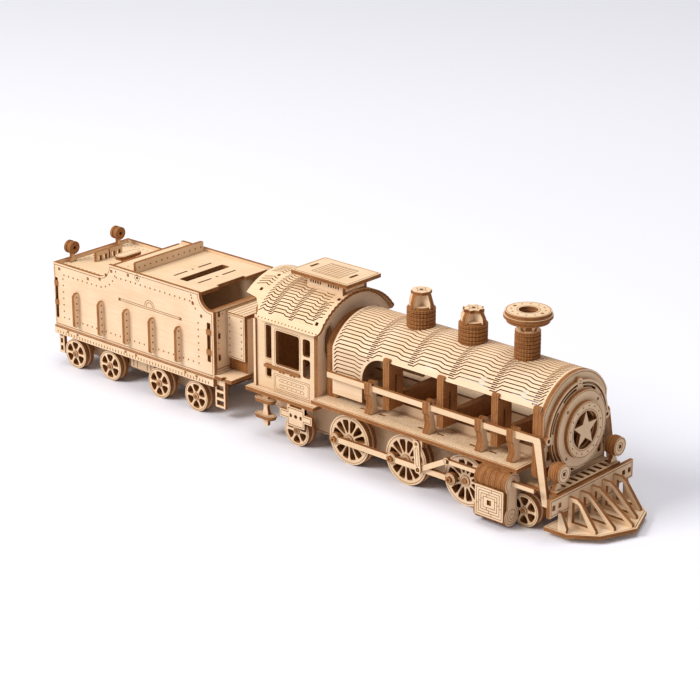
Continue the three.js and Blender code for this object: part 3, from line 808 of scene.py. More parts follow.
def boiler_shell():
    """A bent sheet that comes down to a skirt at its rear end, with slits all over."""
    b = Box("boiler_shell")
    r, edge_deg, bend_r, skirt, quarter = SHELL_R, SHELL_EDGE, 2, 19.5, 13
    cz = b.z1 - r
    arc_run = math.radians(edge_deg) * r
    full = arc_run + math.radians(90 - edge_deg) * bend_r
    straight = cz + (r - bend_r) * math.cos(math.radians(edge_deg)) - b.z0
    reach = full + straight
    corner_x = b.x0 + skirt + quarter
    corner_s = arc_run + quarter
    side = [(b.x1, arc_run), (corner_x, arc_run)]
    side += arc(corner_x, corner_s, quarter, 270, 180, 10)[1:]
    side += [(b.x0 + skirt, reach), (b.x0, reach)]
    outline = both_halves(side)

    def limit(s):
        """How far forward the sheet goes at a distance from the crown."""
        if s < arc_run - 0.6:
            return b.x1
        drop = min(max(corner_s - s, 0), quarter)
        return corner_x - math.sqrt(quarter ** 2 - drop ** 2) if s < corner_s else b.x0 + skirt

    slits = wavy_slits(b.x0, limit, arc_run + 14, 2.1, 25, -2.5)
    piece = Piece("boiler_shell")
    bent_skin(piece, outline, slits, SKIN, cz, r, edge_deg, bend_r)
    piece.ship()


def former_outline(cz, half, bottom, foot_half, foot_z):
    """A former's upright plate: arched under the skin, with round-topped columns outside its edge."""
    rise, tip = 12.8, cz + 15.65
    seat = cz + rise
    inner_r, outer_r = SHELL_R - SKIN - GAP, SHELL_R + GAP
    inner_deg = math.degrees(math.asin(rise / inner_r))
    inner_y = inner_r * math.cos(math.radians(inner_deg))
    outer_y = math.sqrt(outer_r ** 2 - rise ** 2)
    column = [(half, bottom), (half, tip - 1), (half - 0.5, tip), (22.7, tip)]
    column += [(outer_y, seat), (inner_y, seat)]
    crown = arc(0, cz, inner_r, inner_deg, 180 - inner_deg, 30)
    left = mirrored(column)[::-1]
    foot = [(-foot_half, bottom), (-foot_half, foot_z), (foot_half, foot_z), (foot_half, bottom)]
    return column + crown[1:-1] + left + foot


def formers():
    """Three doubled plates with an arched opening, which carry the shell, in burnt brown as painted shade."""
    kick = Box("kick_strip_left")
    cz = Box("boiler_shell").z1 - SHELL_R
    low, spring = cz - 4.6, cz + 15
    arch = [(14, low), (14, spring)] + arc(0, cz, 20.5, 46.9, 133.1, 16)[1:-1] + [(-14, spring), (-14, low)]
    slots = [rect(s * 19.2 - 0.9, cz - 3, s * 19.2 + 0.9, cz + 7) for s in (1, -1)]
    for name in FORMERS:
        piece = Piece(f"boiler_former_{name}")
        b = piece.box
        outline = former_outline(cz, b.outer, b.z0 + 3.7, kick.y0 - GAP, b.z0)
        # The burnt-edge brown on these faces is painted shade for the dark under the shell.
        piece.plate("X", b.x0, b.cx - 0.04, outline, [arch] + slots, EDGE)
        piece.plate("X", b.cx + 0.04, b.x1, outline, [arch] + slots, EDGE)
        piece.ship()


def smokebox_ring(dz):
    """The flat ring round the door: three ears that hold the arched rail, and arc slots."""
    ear = 22.7
    piece = Piece("smokebox_ring")
    b = piece.box
    ears = [(0, dz + ear), (-ear, dz), (ear, dz)]
    slots = []
    for i in range(8):
        mid = 22.5 + 45 * i
        slots.append(arc(0, dz, 20.6, mid - 15, mid + 15, 6) + arc(0, dz, 19.6, mid + 15, mid - 15, 6))
    piece.plate("X", b.x0, b.x1, circle(0, dz, 21.2, 60), [circle(0, dz, 9, 24)] + slots)
    for y, z in ears:
        bolt = square(y, z, 0.8)
        piece.plate("X", b.x0 + 0.05, b.x1 + 0.02, circle(y, z, 2.2, 18), [bolt])
    band = arc(0, dz, 23.4, 4, 176, 40) + arc(0, dz, 22.1, 176, 4, 40)
    piece.plate("X", b.x0 + 0.3, b.x1 - 0.1, band)
    piece.ship()


def smokebox_door():
    """The round door: a lower disc with small squares, and a raised one with dots and the star."""
    piece = Piece("smokebox_door")
    b = piece.box
    dz = b.cz
    piece.plate("X", b.x0, b.x0 + 2, circle(0, dz, 19, 56), [circle(0, dz, 8.9, 32)])
    piece.plate("X", b.x0 + 1.9, b.x1, circle(0, dz, 14, 48), [circle(0, dz, 9.3, 40)])
    piece.plate("X", b.x1 - 1.9, b.x1, star(0, dz, 9.6, 4.0, 5))
    face = b.x1
    piece.ring("X", face, 1, 0, dz, 13.5, FINE, 48)
    piece.ring("X", face, 1, 0, dz, 10.2, FINE, 40)
    turns = [math.radians(11.25 + 22.5 * i) for i in range(16)]
    piece.dots("X", face, 1, [(11.8 * math.cos(a), dz + 11.8 * math.sin(a)) for a in turns], 0.45)
    low = b.x0 + 2
    piece.ring("X", low, 1, 0, dz, 18.5, FINE, 56)
    for i in range(4):
        a = math.radians(45 + 90 * i)
        y, z = 16.5 * math.cos(a), dz + 16.5 * math.sin(a)
        piece.mark("X", low, 1, star(y, z, 1.0, 0.707, 4, math.degrees(a)))
    piece.ship()


def smokebox():
    """The front plates: two under the shell's edge, a burnt-brown disc behind the star as painted shade, and
    the full face.
    """
    door = Box("smokebox_door")
    cz, dz = Box("boiler_shell").z1 - SHELL_R, door.cz
    piece = Piece("smokebox_front")
    b = piece.box
    half = b.outer
    opening = circle(0, dz, 9, 32)
    outline = former_outline(cz, half, b.z0 + 4, half - 5, b.z0)
    piece.plate("X", b.x0, b.x0 + SHEET, outline, [opening])
    piece.plate("X", b.x0 + 2.05, b.x1 - 2.05, outline, [opening])
    # A burnt-brown disc deep behind the star: painted shade in the opening.
    piece.plate("X", b.x0, b.x0 + 1, circle(0, dz, 9.1, 32), look=EDGE)
    rise = math.degrees(math.acos(half / SHELL_R))
    face = [(-half, b.z0), (half, b.z0)] + arc(0, cz, SHELL_R, rise, 180 - rise, 40)
    slots = [rect(s * 20 - 1.2, z, s * 20 + 1.2, z + 4.5) for s in (1, -1) for z in (b.z0 + 4, b.z0 + 12)]
    piece.plate("X", b.x1 - SHEET, b.x1, face, [opening] + slots)
    piece.loop("X", b.x1, 1, offset(wound(face, 1), 0.9, True), 0.3)
    for s in (1, -1):
        for i in range(6):
            z = cz - 16 + 3 * i
            piece.mark("X", b.x1, 1, rect(s * 23.4 - 0.5, z, s * 23.4 + 0.5, z + 0.8))
    piece.ship()
    smokebox_ring(dz)
    smokebox_door()


def burnt_rings(piece, x, z0, z1, r, count):
    """Burnt fluted rings with a narrower layer between each pair."""
    pitch = (z1 - z0) / count
    for i in range(count):
        z = z0 + i * pitch
        low = z - 1 if i == 0 else z
        piece.plate("Z", low, z + pitch - 0.55, fluted(x, 0, r, 28, 0.3), look=EDGE)
        piece.plate("Z", z + pitch - 0.6, z + pitch, circle(x, 0, r - 0.7, 28), look=EDGE)


def chimney():
    """The stack of burnt rings with crossed flares on top, and the funnel of three discs."""
    stack, funnel = Box("chimney_stack"), Box("chimney_funnel")
    x = funnel.cx
    wide = funnel.outer
    piece = Piece("chimney_stack")
    top = stack.z1 - 4.2
    burnt_rings(piece, x, stack.z0, top - 1.8, 6.3, 6)
    piece.plate("Z", top - 1.8, top, fluted(x, 0, 6.2, 28, 0.3))
    flare = [(-4.2, top - 0.2), (4.2, top - 0.2), (5.8, stack.z1), (-5.8, stack.z1)]
    piece.plate("X", x - 1, x + 1, flare)
    piece.plate("Y", -1, 1, moved(flare, x, 0))
    piece.plate("Z", top - 0.1, stack.z1 - 0.1, circle(x, 0, 3.2, 18), look=EDGE)
    piece.ship()
    piece = Piece("chimney_funnel")
    flue = circle(x, 0, 4.6, 28)
    piece.plate("Z", funnel.z0, funnel.z0 + 2.0, circle(x, 0, wide - 1.4, 40), [flue])
    piece.plate("Z", funnel.z0 + 2.05, funnel.z1 - 1.9, circle(x, 0, wide, 44), [flue])
    piece.plate("Z", funnel.z1 - 1.85, funnel.z1, circle(x, 0, wide - 0.7, 44), [flue])
    piece.ring("Z", funnel.z1, 1, x, 0, wide - 1.3, FINE, 44)
    piece.ring("Z", funnel.z1, 1, x, 0, 5.6, FINE, 28)
    turns = [math.radians(30 * i) for i in range(12) if i % 6]
    piece.dots("Z", funnel.z1, 1, [(x + 8.1 * math.cos(a), 8.1 * math.sin(a)) for a in turns], 0.5)
    for s in (1, -1):
        piece.mark("Z", funnel.z1, 1, square(x + s * 8.1, 0, 0.8))
    piece.ship()


def domes():
    """Each dome: burnt rings, a pale shoulder, and crossed fins under a small top plate."""
    for name in ("front", "rear"):
        node = f"dome_{name}"
        b = Box(node)
        x = b.cx
        piece = Piece(node)
        shoulder = b.z0 + 9.6
        burnt_rings(piece, x, b.z0, shoulder, 7.2, 5)
        piece.plate("Z", shoulder - 0.05, shoulder + 0.8, circle(x, 0, 6.2, 28))
        top = b.z1 - 1.6
        knee = shoulder + 2.6
        fin = [(-6.9, shoulder), (6.9, shoulder), (6.8, knee), (5.2, top), (-5.2, top), (-6.8, knee)]
        piece.plate("X", x - 1.3, x + 1.3, fin)
        piece.plate("Y", -1.3, 1.3, moved(fin, x, 0))
        cap = circle(x, 0, 5.2, 8) if name == "rear" else star(x, 0, 5.4, 4.0, 8, 22.5)
        piece.plate("Z", top - 0.1, b.z1, cap, [circle(x, 0, 1.0, 10)])
        piece.loop("Z", b.z1, 1, wound(star(x, 0, 3.6, 1.8, 4, 0), 1), FINE)
        piece.ship()


# ---- Running board, handrails and pilot ----
def running_board():
    """The walkway, with slots, a border line and the two hangers that the links swing on."""
    link = Box("valve_link_left")
    piece = Piece("running_board")
    b = piece.box
    top = b.z1
    slots = []
    for s in (1, -1):
        for x in POST_XS[:3]:
            for dx in (4, -8):
                slots.append(rect(x + dx, s * 23.5 - 0.7, x + dx + 4, s * 23.5 + 0.7))
    piece.plate("Z", top - SHEET, top, rect(b.x0, b.y0, b.x1, b.y1), slots, STIPPLE)
    for s in (1, -1):
        border = wound(rect(b.x0 + 1, s * 16, b.x1 - 1, s * (b.outer - 0.7)), 1)
        piece.loop("Z", top, 1, border, 0.3)
        pivot = (link.x0 + LINK_R, link.z1 - LINK_R)
        hanger = round_rect(pivot[0] - 3, b.z0, pivot[0] + 3, top - SHEET + 0.1, 1.2)
        piece.wall(s, 27, link.inner - GAP, hanger)
        piece.disc("Y", *span(s, 27, link.outer), *pivot, 0.8, 12, EDGE)
    piece.ship()


def kick_strips():
    """A long strip on edge along each side, notched for the three formers."""
    gaps = [Box(f"boiler_former_{name}") for name in FORMERS]
    for piece, b, _, _ in both("kick_strip"):
        low, high, notch = b.z0, b.z1, b.z0 + 3.6
        points = [(b.x0, low), (b.x1, low), (b.x1, high)]
        for gap in reversed(gaps):
            after, before = gap.x1 + GAP, gap.x0 - GAP
            points += [(after, high), (after, notch), (before, notch), (before, high)]
        piece.plate("Y", b.y0, b.y1, points + [(b.x0, high)])


def post_outline(sign, z0, z1, rail_top):
    """A wavy baluster whose top is a yoke round the rail."""
    outer = [(27.9, 0), (27.7, 1.2), (26.9, 2.6), (26.3, 4.8), (27.0, 7.4), (27.0, 9), (28.2, 10.6)]
    inner = [(22.4, 10.4), (23.8, 9), (23.6, 7.4), (22.8, 4.8), (22.5, 2.6), (21.6, 1.2), (21.4, 0)]
    yoke = [(28.2, z1 - 0.5), (27.8, z1), (27.05, z1), (27.0, rail_top), (25.0, rail_top)]
    yoke += [(25.0, z1), (22.9, z1), (22.4, z1 - 0.5)]
    return mirrored(moved(outer, 0, z0) + yoke + moved(inner, 0, z0), sign)


def handrails():
    """The rail, its four doubled posts, and the stay that bends down to the buffer beam."""
    deck_z = Box("running_board").z1 + GAP
    last = POST_XS[-1]
    for piece, b, _, sign in both("handrail"):
        rail_top = b.z1 - 1.4
        bottom = rail_top - 3
        piece.wall(sign, 25, 27, rect(b.x0, bottom, last - 1, rail_top))
        outline = post_outline(sign, deck_z, b.z1, rail_top)
        for x in POST_XS:
            piece.plate("X", x - 2, x - 0.05, outline)
            piece.plate("X", x + 0.05, x + 2, outline)
        stay = [(last - 1, bottom), (b.x1 - 9.3, bottom + 0.9), (b.x1 - 3.4, b.z0), (b.x1, b.z0),
                (b.x1 - 5.5, rail_top + 1), (last - 1, rail_top + 1)]
        piece.wall(sign, 25, 27, softened_at(stay, (1, 4)))


def pilot():
    """The front deck, with a row of ten slots along its front edge."""
    piece = Piece("pilot_deck")
    b = piece.box
    slots = [rect(b.x1 - 6.2, y - 1.05, b.x1 - 1.4, y + 1.05) for y in (-21 + 42 / 9 * i for i in range(10))]
    piece.plate("Z", b.z0, b.z1, rect(b.x0, b.y0, b.x1, b.y1), slots)
    piece.strokes("Z", b.z1, 1, [(b.x1 - 7.4, b.y0 + 1), (b.x1 - 7.4, b.y1 - 1)], 0.35)
    piece.ship()


def buffer_beam():
    """The upright plate across the front, which comes down lower in the middle."""
    piece = Piece("buffer_beam")
    b = piece.box
    low = b.z0 + 3.2
    wide, mid = b.outer, 18.7
    outline = [(-wide, low), (-mid, low), (-mid, b.z0), (mid, b.z0), (mid, low), (wide, low)]
    outline += [(wide, b.z1), (-wide, b.z1)]
    holes = [rect(s * y - 1.1, low + 3.4, s * y + 1.1, low + 5.8) for s in (1, -1) for y in (29.6, 25)]
    piece.plate("X", b.x0, b.x1, outline, holes)
    piece.loop("X", b.x1, 1, offset(wound(outline, 1), 0.8, True), 0.35)
    piece.ship()


def cowcatcher():
    """The base plate, five holed ribs that slope down to it, and a strut at each side."""
    piece = Piece("cowcatcher")
    b = piece.box
    wide, top, back = b.outer, b.z0 + SHEET, Box("buffer_beam").x1 + GAP
    foot = top - 0.1
    knee, nose, crest = b.x0 + 13, b.x1 - 7.6, b.x1 - 19
    base = [(b.x0, -wide), (knee, -wide), (nose, -18.4), (b.x1, 0), (nose, 18.4), (knee, wide), (b.x0, wide)]
    piece.plate("Z", b.z0, top, base)
    piece.loop("Z", top, 1, offset(wound(base, 1), 0.9, True), 0.3)
    for y, short in ((-17.5, 10), (-8.7, 6), (0, 2), (8.7, 6), (17.5, 10)):
        tip = b.x1 - short
        outer = [(back, foot), (tip, foot), (tip - 0.4, top + 1.5), (crest, b.z1 - 1.6),
                 (crest - 2.5, b.z1), (back, b.z1)]
        hole = [(back + 2.2, top + 1.9), (tip - 4.6, top + 1.9), (crest - 1.2, b.z1 - 3.0),
                (crest - 2.6, b.z1 - 2.2), (back + 2.2, b.z1 - 2.2)]
        piece.plate("Y", y - SHEET / 2, y + SHEET / 2, outer, [hole])
    strut = [(back, foot), (knee - 1, foot), (knee - 0.5, top + 2), (back + 1.6, b.z1 - 5), (back, b.z1 - 5)]
    for s in (1, -1):
        piece.wall(s, 24.6, 26.4, strut)
    piece.ship()


def headlamps():
    """Each front lamp: two burnt discs and a pale one with rings, on a waisted stem."""
    for piece, b, _, _ in both("headlamp"):
        y, r = b.cy, b.outer - abs(b.cy)
        z = b.z1 - r
        hole = square(y, z, 0.9)
        layers = ((b.x0, b.x0 + 2.0, r - 0.6, EDGE), (b.x0 + 2.05, b.x0 + 4.05, r, EDGE),
                  (b.x0 + 4.1, b.x1, r - 0.25, BIRCH))
        for x0, x1, layer_r, look in layers:
            piece.plate("X", x0, x1, circle(y, z, layer_r, 28), [hole], look)
        piece.ring("X", b.x1, 1, y, z, r - 0.8, 0.35)
        piece.ring("X", b.x1, 1, y, z, 2.2, 0.3, 18)
        right = [(2.6, b.z0), (2.2, b.z0 + 1.6), (1.1, b.z0 + 3), (1.4, z - r + 1.5)]
        piece.plate("X", b.x0 + 1, b.x0 + 3, moved(whole(right), y, 0))


# ---- Cab ----
def cab_floor():
    """The floor with its tongue and drawbar pin, and a spring plate over each trailing wheel."""
    piece = Piece("cab_floor")
    b = piece.box
    wide, top, rear = b.outer, b.z1, b.x0 + 8
    outline = [(b.x0, -5), (rear, -5), (rear, -wide), (b.x1, -wide)]
    piece.plate("Z", top - SHEET, top, both_halves(outline))
    axle_x = Box("trailing_wheelset").cx
    right = [(9, 12), (9, 15.5), (14, 15.5), (14, 20), (9, 20), (9, 22.5)]
    cross = moved(whole(right, 3), axle_x, 0)
    ports = [circle(axle_x + 3 + 3.6 * k, 17.7, 1.0, 10) for k in (-1, 0, 1)]
    for s in (1, -1):
        piece.strokes("Y", s * wide, s, [(rear + 1, top - 1), (b.x1 - 1, top - 1)], 0.5)
        piece.strokes("Z", top, 1, [(rear + 1, s * (wide - 1.1)), (b.x1 - 1, s * (wide - 1.1))], 0.35)
        for x in (axle_x - 2, axle_x + 8):
            piece.wall(s, 28.1, 29.9, rect(x - 1, 14, x + 1, top - SHEET + 0.1))
        piece.wall(s, 28, 30, cross, ports)
        piece.loop("Y", s * 30, s, offset(wound(cross, 1), 0.7, True), 0.35)
    piece.disc("Z", top - SHEET - PIN_DROP, top - SHEET + 0.1, b.x0 + 4, 0, AXLE_R, 20, EDGE)
    piece.ship()


def cab_panel(piece, sign, a0, a1, z0, outer):
    """The engraved panel under the windows: a double frame round two scrolled bars."""
    face = sign * outer
    c0, c1 = z0 + 1.0, z0 + 10.0
    piece.loop("Y", face, sign, rect(a0, c0, a1, c1), 0.22)
    piece.loop("Y", face, sign, round_rect(a0 + 0.9, c0 + 0.9, a1 - 0.9, c1 - 0.9, 1.2), 0.22)
    mid = (a0 + a1) / 2
    for z in (c0 + 3.0, c1 - 3.0):
        piece.loop("Y", face, sign, round_rect(mid - 8.4, z - 0.9, mid + 8.4, z + 0.9, 0.8), 0.2)
        piece.dots("Y", face, sign, [(mid - 6 + 3 * i, z) for i in range(5)], 0.3)


def cab_sides():
    """Each side wall with its windows, raised trim, sill and engraved panel."""
    for piece, b, _, sign in both("cab_side"):
        x0, x1, z0, z1 = b.x0, b.x1, b.z0, b.z1
        inner, outer = b.inner, b.outer
        big = (x0 + 15.4, z0 + 14.9, x0 + 31.4, z0 + 33.2)
        upper = (x0 + 34.0, z0 + 24.1, x0 + 38.9, z0 + 33.2)
        lower = (x0 + 34.0, z0 + 12.6, x0 + 38.9, z0 + 22.5)
        narrow = (x0 + 7.9, z0 + 16.6, x0 + 11.6, z0 + 34.2)
        small = (x0 + 8.1, z0 + 6.6, x0 + 11.4, z0 + 11.6)
        panes = [round_rect(*w, 1.2) for w in (big, upper, lower)]
        holes = panes + [round_rect(*w, 0.8) for w in (narrow, small)]
        piece.wall(sign, inner, outer - 0.9, rect(x0, z0, x1, z1), holes)
        trim = round_rect(x0 + 12.6, z0 + 0.2, x1 - 0.3, z1 - 1.2, 0.8)
        piece.wall(sign, outer - 0.95, outer - 0.05, trim, panes)
        face, back = sign * (outer - 0.05), sign * (outer - 0.9)
        piece.loop("Y", face, sign, round_rect(*grown(big, 0.9), 1.6), 0.22)
        for window in (narrow, small):
            piece.loop("Y", back, sign, round_rect(*grown(window, 0.7), 1.0), 0.22)
        cab_panel(piece, sign, x0 + 14, x1 - 3.6, z0, outer - 0.05)
        piece.wall(sign, outer - 0.95, outer + 0.25, rect(x0 + 0.1, z0, x0 + 1.7, z1 - 2))
        sill = round_rect(x0 + 7.6, z0 + 12.0, x0 + 32.2, z0 + 13.7, 0.6)
        piece.wall(sign, outer - 0.95, outer + 0.8, sill, look=EDGE)
        for dx in (17.6, 19.8, 25.0, 27.2):
            piece.mark("Y", face, sign, rect(x0 + dx, z0 + 10.9, x0 + dx + 1.6, z0 + 11.8))


def arched(half, low, cz, r, steps=32):
    """An upright sheet, some half width wide, whose top follows a circle."""
    rise = math.degrees(math.acos(half / r))
    return [(-half, low), (half, low)] + arc(0, cz, r, rise, 180 - rise, steps)


def cab_collar(piece, x):
    """A thin arch between the cab front and the shell, just inside the shell's curve."""
    cz = Box("boiler_shell").z1 - SHELL_R
    foot = Box("running_board").z1 + GAP
    outline = []
    for half, r, way in ((22.2, 25.6, 1), (20.4, 23.8, -1)):
        rise = math.degrees(math.acos(half / r))
        line = [(half, foot)] + arc(0, cz, r, rise, 180 - rise, 32) + [(-half, foot)]
        outline += line[::way]
    piece.plate("X", x + 1.5, x + 8, outline)


def cab_front():
    """The front wall with a lookout window at each side of the boiler, and its collar."""
    piece = Piece("cab_front")
    b = piece.box
    cz = Box("cab_roof").z1 - ROOF_R
    window = [(16.5, cz + 5.6), (21.8, cz + 4.2), (21.8, cz + 17.6), (16.5, cz + 21.1)]
    holes = [softened(mirrored(window, s)) for s in (1, -1)]
    piece.plate("X", b.x0, b.x1, arched(b.outer, b.z0, cz, ROOF_INSIDE), holes)
    for hole in holes:
        piece.loop("X", b.x1, 1, offset(wound(hole, 1), -0.8, True), FINE)
    cab_collar(piece, b.x1 + 0.1)
    piece.ship()


def cab_door(piece, b, cz):
    """The closed door, with a dark sheet in the burnt-edge look behind it: painted shade that keeps the cab's
    inside dim.
    """
    face = b.x0 + 0.5
    door = arched(14.8, b.z0, cz, ROOF_INSIDE - 5.2, 24)
    piece.plate("X", face, b.x1 - 0.1, door)
    piece.loop("X", face, -1, offset(wound(door, 1), 1.6, True), 0.35)
    piece.loop("X", face, -1, round_rect(-9, b.z0 + 4, 9, b.z0 + 17, 1.5), 0.35)
    # A burnt-brown sheet across the cab's inside, as painted shade for the dim cab.
    painted_shade_sheet = arched(b.outer - 2.3, b.z0, cz, ROOF_INSIDE - 1)
    piece.plate("X", b.x1 - 0.05, b.x1 + 0.6, painted_shade_sheet, look=EDGE)


def cab_rear():
    """The rear wall: slotted jambs round a closed door."""
    piece = Piece("cab_rear")
    b = piece.box
    cz = Box("cab_roof").z1 - ROOF_R
    lintel = arc(0, cz, ROOF_INSIDE - 5, 123, 57, 16)
    jamb = [(-b.outer, b.z0), (-15, b.z0), (-15, cz + 16)] + lintel + [(15, cz + 16), (15, b.z0)]
    jamb += arched(b.outer, b.z0, cz, ROOF_INSIDE)[1:]
    slots = []
    for s in (1, -1):
        for i in range(3):
            z = b.z0 + 6 + 11 * i
            slots.append(round_rect(s * 20 - 1.2, z, s * 20 + 1.2, z + 7, 1))
    piece.plate("X", b.x0, b.x1, jamb, slots)
    cab_door(piece, b, cz)
    piece.ship()


def clear_of(slits, slots):
    """The slits that keep away from every slot."""
    kept = []
    for slit in slits:
        a = bounds_of(slit)
        near = [b for b in (bounds_of(slot, 0.5) for slot in slots)
                if a[0] < b[2] and b[0] < a[2] and a[1] < b[3] and b[1] < a[3]]
        if not near:
            kept.append(slit)
    return kept


def roof_slots(x1, tail):
    """Small square slots: two pairs near the front edge, two pairs on the rear tail."""
    slots = []
    for x, deg in ((x1 - 4.2, 49), (x1 - 2.0, 20), (tail - 4.2, 12), (tail - 5.6, 33)):
        s = math.radians(deg) * ROOF_R
        for side in (1, -1):
            slots.append(square(x, side * s, 0.9))
    return slots


def eave_dots(piece, x0, x1, s, cz, r):
    """A row of burnt dots along each lower edge of the roof."""
    sides, count = 7, 18
    rim = circle(0, 0, 0.42, sides)
    faces = [list(range(sides)), list(range(2 * sides - 1, sides - 1, -1))]
    faces += [[i, i + sides, (i + 1) % sides + sides, (i + 1) % sides] for i in range(sides)]
    for side in (1, -1):
        a = s / r
        out = (side * math.sin(a), math.cos(a))
        down = (side * math.cos(a), -math.sin(a))
        y, z = r * out[0], cz + r * out[1]
        for i in range(count):
            x = x0 + 2 + (x1 - x0 - 4) * i / (count - 1)
            verts = []
            for lift in (-0.1, PROUD):
                for u, v in rim:
                    verts.append((x + u, y + v * down[0] + lift * out[0], z + v * down[1] + lift * out[1]))
            piece.take(verts, faces, [SCORCH] * len(faces), [0.0] * len(verts), 0.5)


def cab_roof():
    """A bent sheet with a narrower tail, fine teeth along its front edge, slits and slots."""
    piece = Piece("cab_roof")
    b = piece.box
    r = ROOF_R
    cz = b.z1 - r
    wide = math.radians(60) * r
    narrow = math.radians(40) * r
    tail = b.x0 + 13
    teeth = 22
    toothed = []
    for i in range(teeth):
        s = wide - 5 - (2 * wide - 10) * i / teeth
        run = (2 * wide - 10) / teeth
        notch_x, mid = b.x1 - 0.35, s - run * 0.5
        toothed += [(b.x1, s), (b.x1, mid), (notch_x, mid), (notch_x, s - run)]
    right = arc(b.x1 - 4, wide - 4, 4, 0, 90, 5) + arc(tail + 4, wide - 4, 4, 90, 180, 5)
    right += [(tail - 1.5, narrow + 5), (tail - 5, narrow + 1.4), (b.x0, narrow)]
    outline = both_halves(right) + toothed[::-1]
    slits = wavy_slits(tail - 1, lambda _: b.x1 - 1.5, wide - 4.6, 2.0, 14, -6)
    slits += wavy_slits(b.x0 + 1, lambda _: tail - 1, narrow - 2.0, 2.0, 14, -3)
    slots = roof_slots(b.x1, tail)
    bent_skin(piece, outline, clear_of(slits, slots) + slots, SKIN, cz, r, 60, 0)
    eave_dots(piece, tail, b.x1, wide - 1.4, cz, r)
    piece.ship()


def roof_vent():
    """A low box with slatted sides under a flat engraved lid."""
    piece = Piece("roof_vent")
    b = piece.box
    lid_z = b.z1 - SHEET
    x0, x1 = b.x0 + 8, b.x1 - 6.5
    for s in (1, -1):
        slits = []
        for group in (0, 1):
            start = x0 + 2.2 + group * 12
            starts = [start + 1.6 * i for i in range(5)]
            slits += [rect(x, b.z0 + 1.5, x + 0.7, lid_z - 0.9) for x in starts]
        piece.wall(s, 7, 9, rect(x0, b.z0 - 2, x1, lid_z), slits)
    for x in (x0 + 2, x1):
        piece.plate("X", x - SHEET, x, rect(-7, b.z0, 7, lid_z))
    slots = [rect(b.x0 + 4.0, -3, b.x0 + 5.6, 3), rect(b.x1 - 8.0, -3, b.x1 - 6.4, 3)]
    piece.plate("Z", lid_z - 0.05, b.z1, round_rect(b.x0, b.y0, b.x1, b.y1, 1.2), slots)
    piece.loop("Z", b.z1, 1, round_rect(b.x0 + 1, b.y0 + 1, b.x1 - 1, b.y1 - 1, 1), 0.35)
    panel = (b.x0 + 9.6, -7.6, b.x1 - 10.6, 7.6)
    piece.loop("Z", b.z1, 1, rect(*panel), 0.35)
    for i in range(7):
        y = panel[1] + 1.6 + i * 2.05
        piece.strokes("Z", b.z1, 1, [(panel[0] + 1.2, y), (panel[2] - 1.2, y)], 0.45)
    piece.ship()


def cab_steps():
    """Two round-ended treads, one over the other, on an upright post."""
    for piece, b, _, sign in both("cab_steps"):
        y = sign * 27
        ends = (b.x0 + 3, y, b.x1 - 3, y)
        for top in (b.z1 - 3.1, b.z1 - 11.9):
            piece.plate("Z", top - 0.95, top, capsule(*ends, 3))
            piece.plate("Z", top - 2, top - 1, capsule(*ends, 2.6), look=EDGE)
            piece.loop("Z", top, 1, capsule(*ends, 2.3), 0.3)
        right = [(1.5, b.z0), (1.9, 13), (1.2, 16), (1.9, 19), (1.9, b.z1)]
        piece.wall(sign, 25.5, 27.5, moved(whole(right), b.x0 + 6.9, 0))


# ---- Tender ----
def tender_outline(b, low_top):
    """The tender's side: a sill, and a top edge that sweeps up to the raised middle."""
    sweep = b.z1 - low_top
    step_x, shoulder_x = b.x0 + 44.4, b.x1 - 14
    front = arc(shoulder_x + 12, b.z1 - 0.2, sweep, 270, 182, 10)
    rear = arc(step_x - sweep, b.z1, sweep, 0, -90, 10)[1:]
    return ([(b.x0, b.z0), (b.x1, b.z0), (b.x1, low_top)] + front
            + [(shoulder_x + 3.6, b.z1), (step_x, b.z1)] + rear + [(b.x0, low_top)])


def tender_side_tabs(piece, sign, b, out):
    """The small latch blocks in the two long end slots."""
    for x0, x1 in ((b.x0 + 0.9, b.x0 + 3.6), (b.x1 - 5.2, b.x1 - 1.9)):
        for z in (34.5, 45.5):
            piece.wall(sign, out - 1.9, out + 0.5, rect(x0, z, x1, z + 2.8), look=EDGE)


def tender_sill(piece, face, sign, b, sill):
    """The sill's tick teeth, its long line and its burnt squares."""
    for i in range(int((b.x1 - b.x0 - 4) / 2.2)):
        x = b.x0 + 2.4 + 2.2 * i
        piece.mark("Y", face, sign, rect(x, b.z0 + 0.7, x + 0.5, b.z0 + 2.2))
    piece.strokes("Y", face, sign, [(b.x0 + 0.6, sill - 0.5), (b.x1 - 0.6, sill - 0.5)], 0.6)
    for dx in (10.9, 18.6, 56.7, 64.8, 102.2, 110.5):
        x = b.x0 + dx
        piece.mark("Y", face, sign, rect(x - 0.75, 20.1, x + 0.75, 21.3))


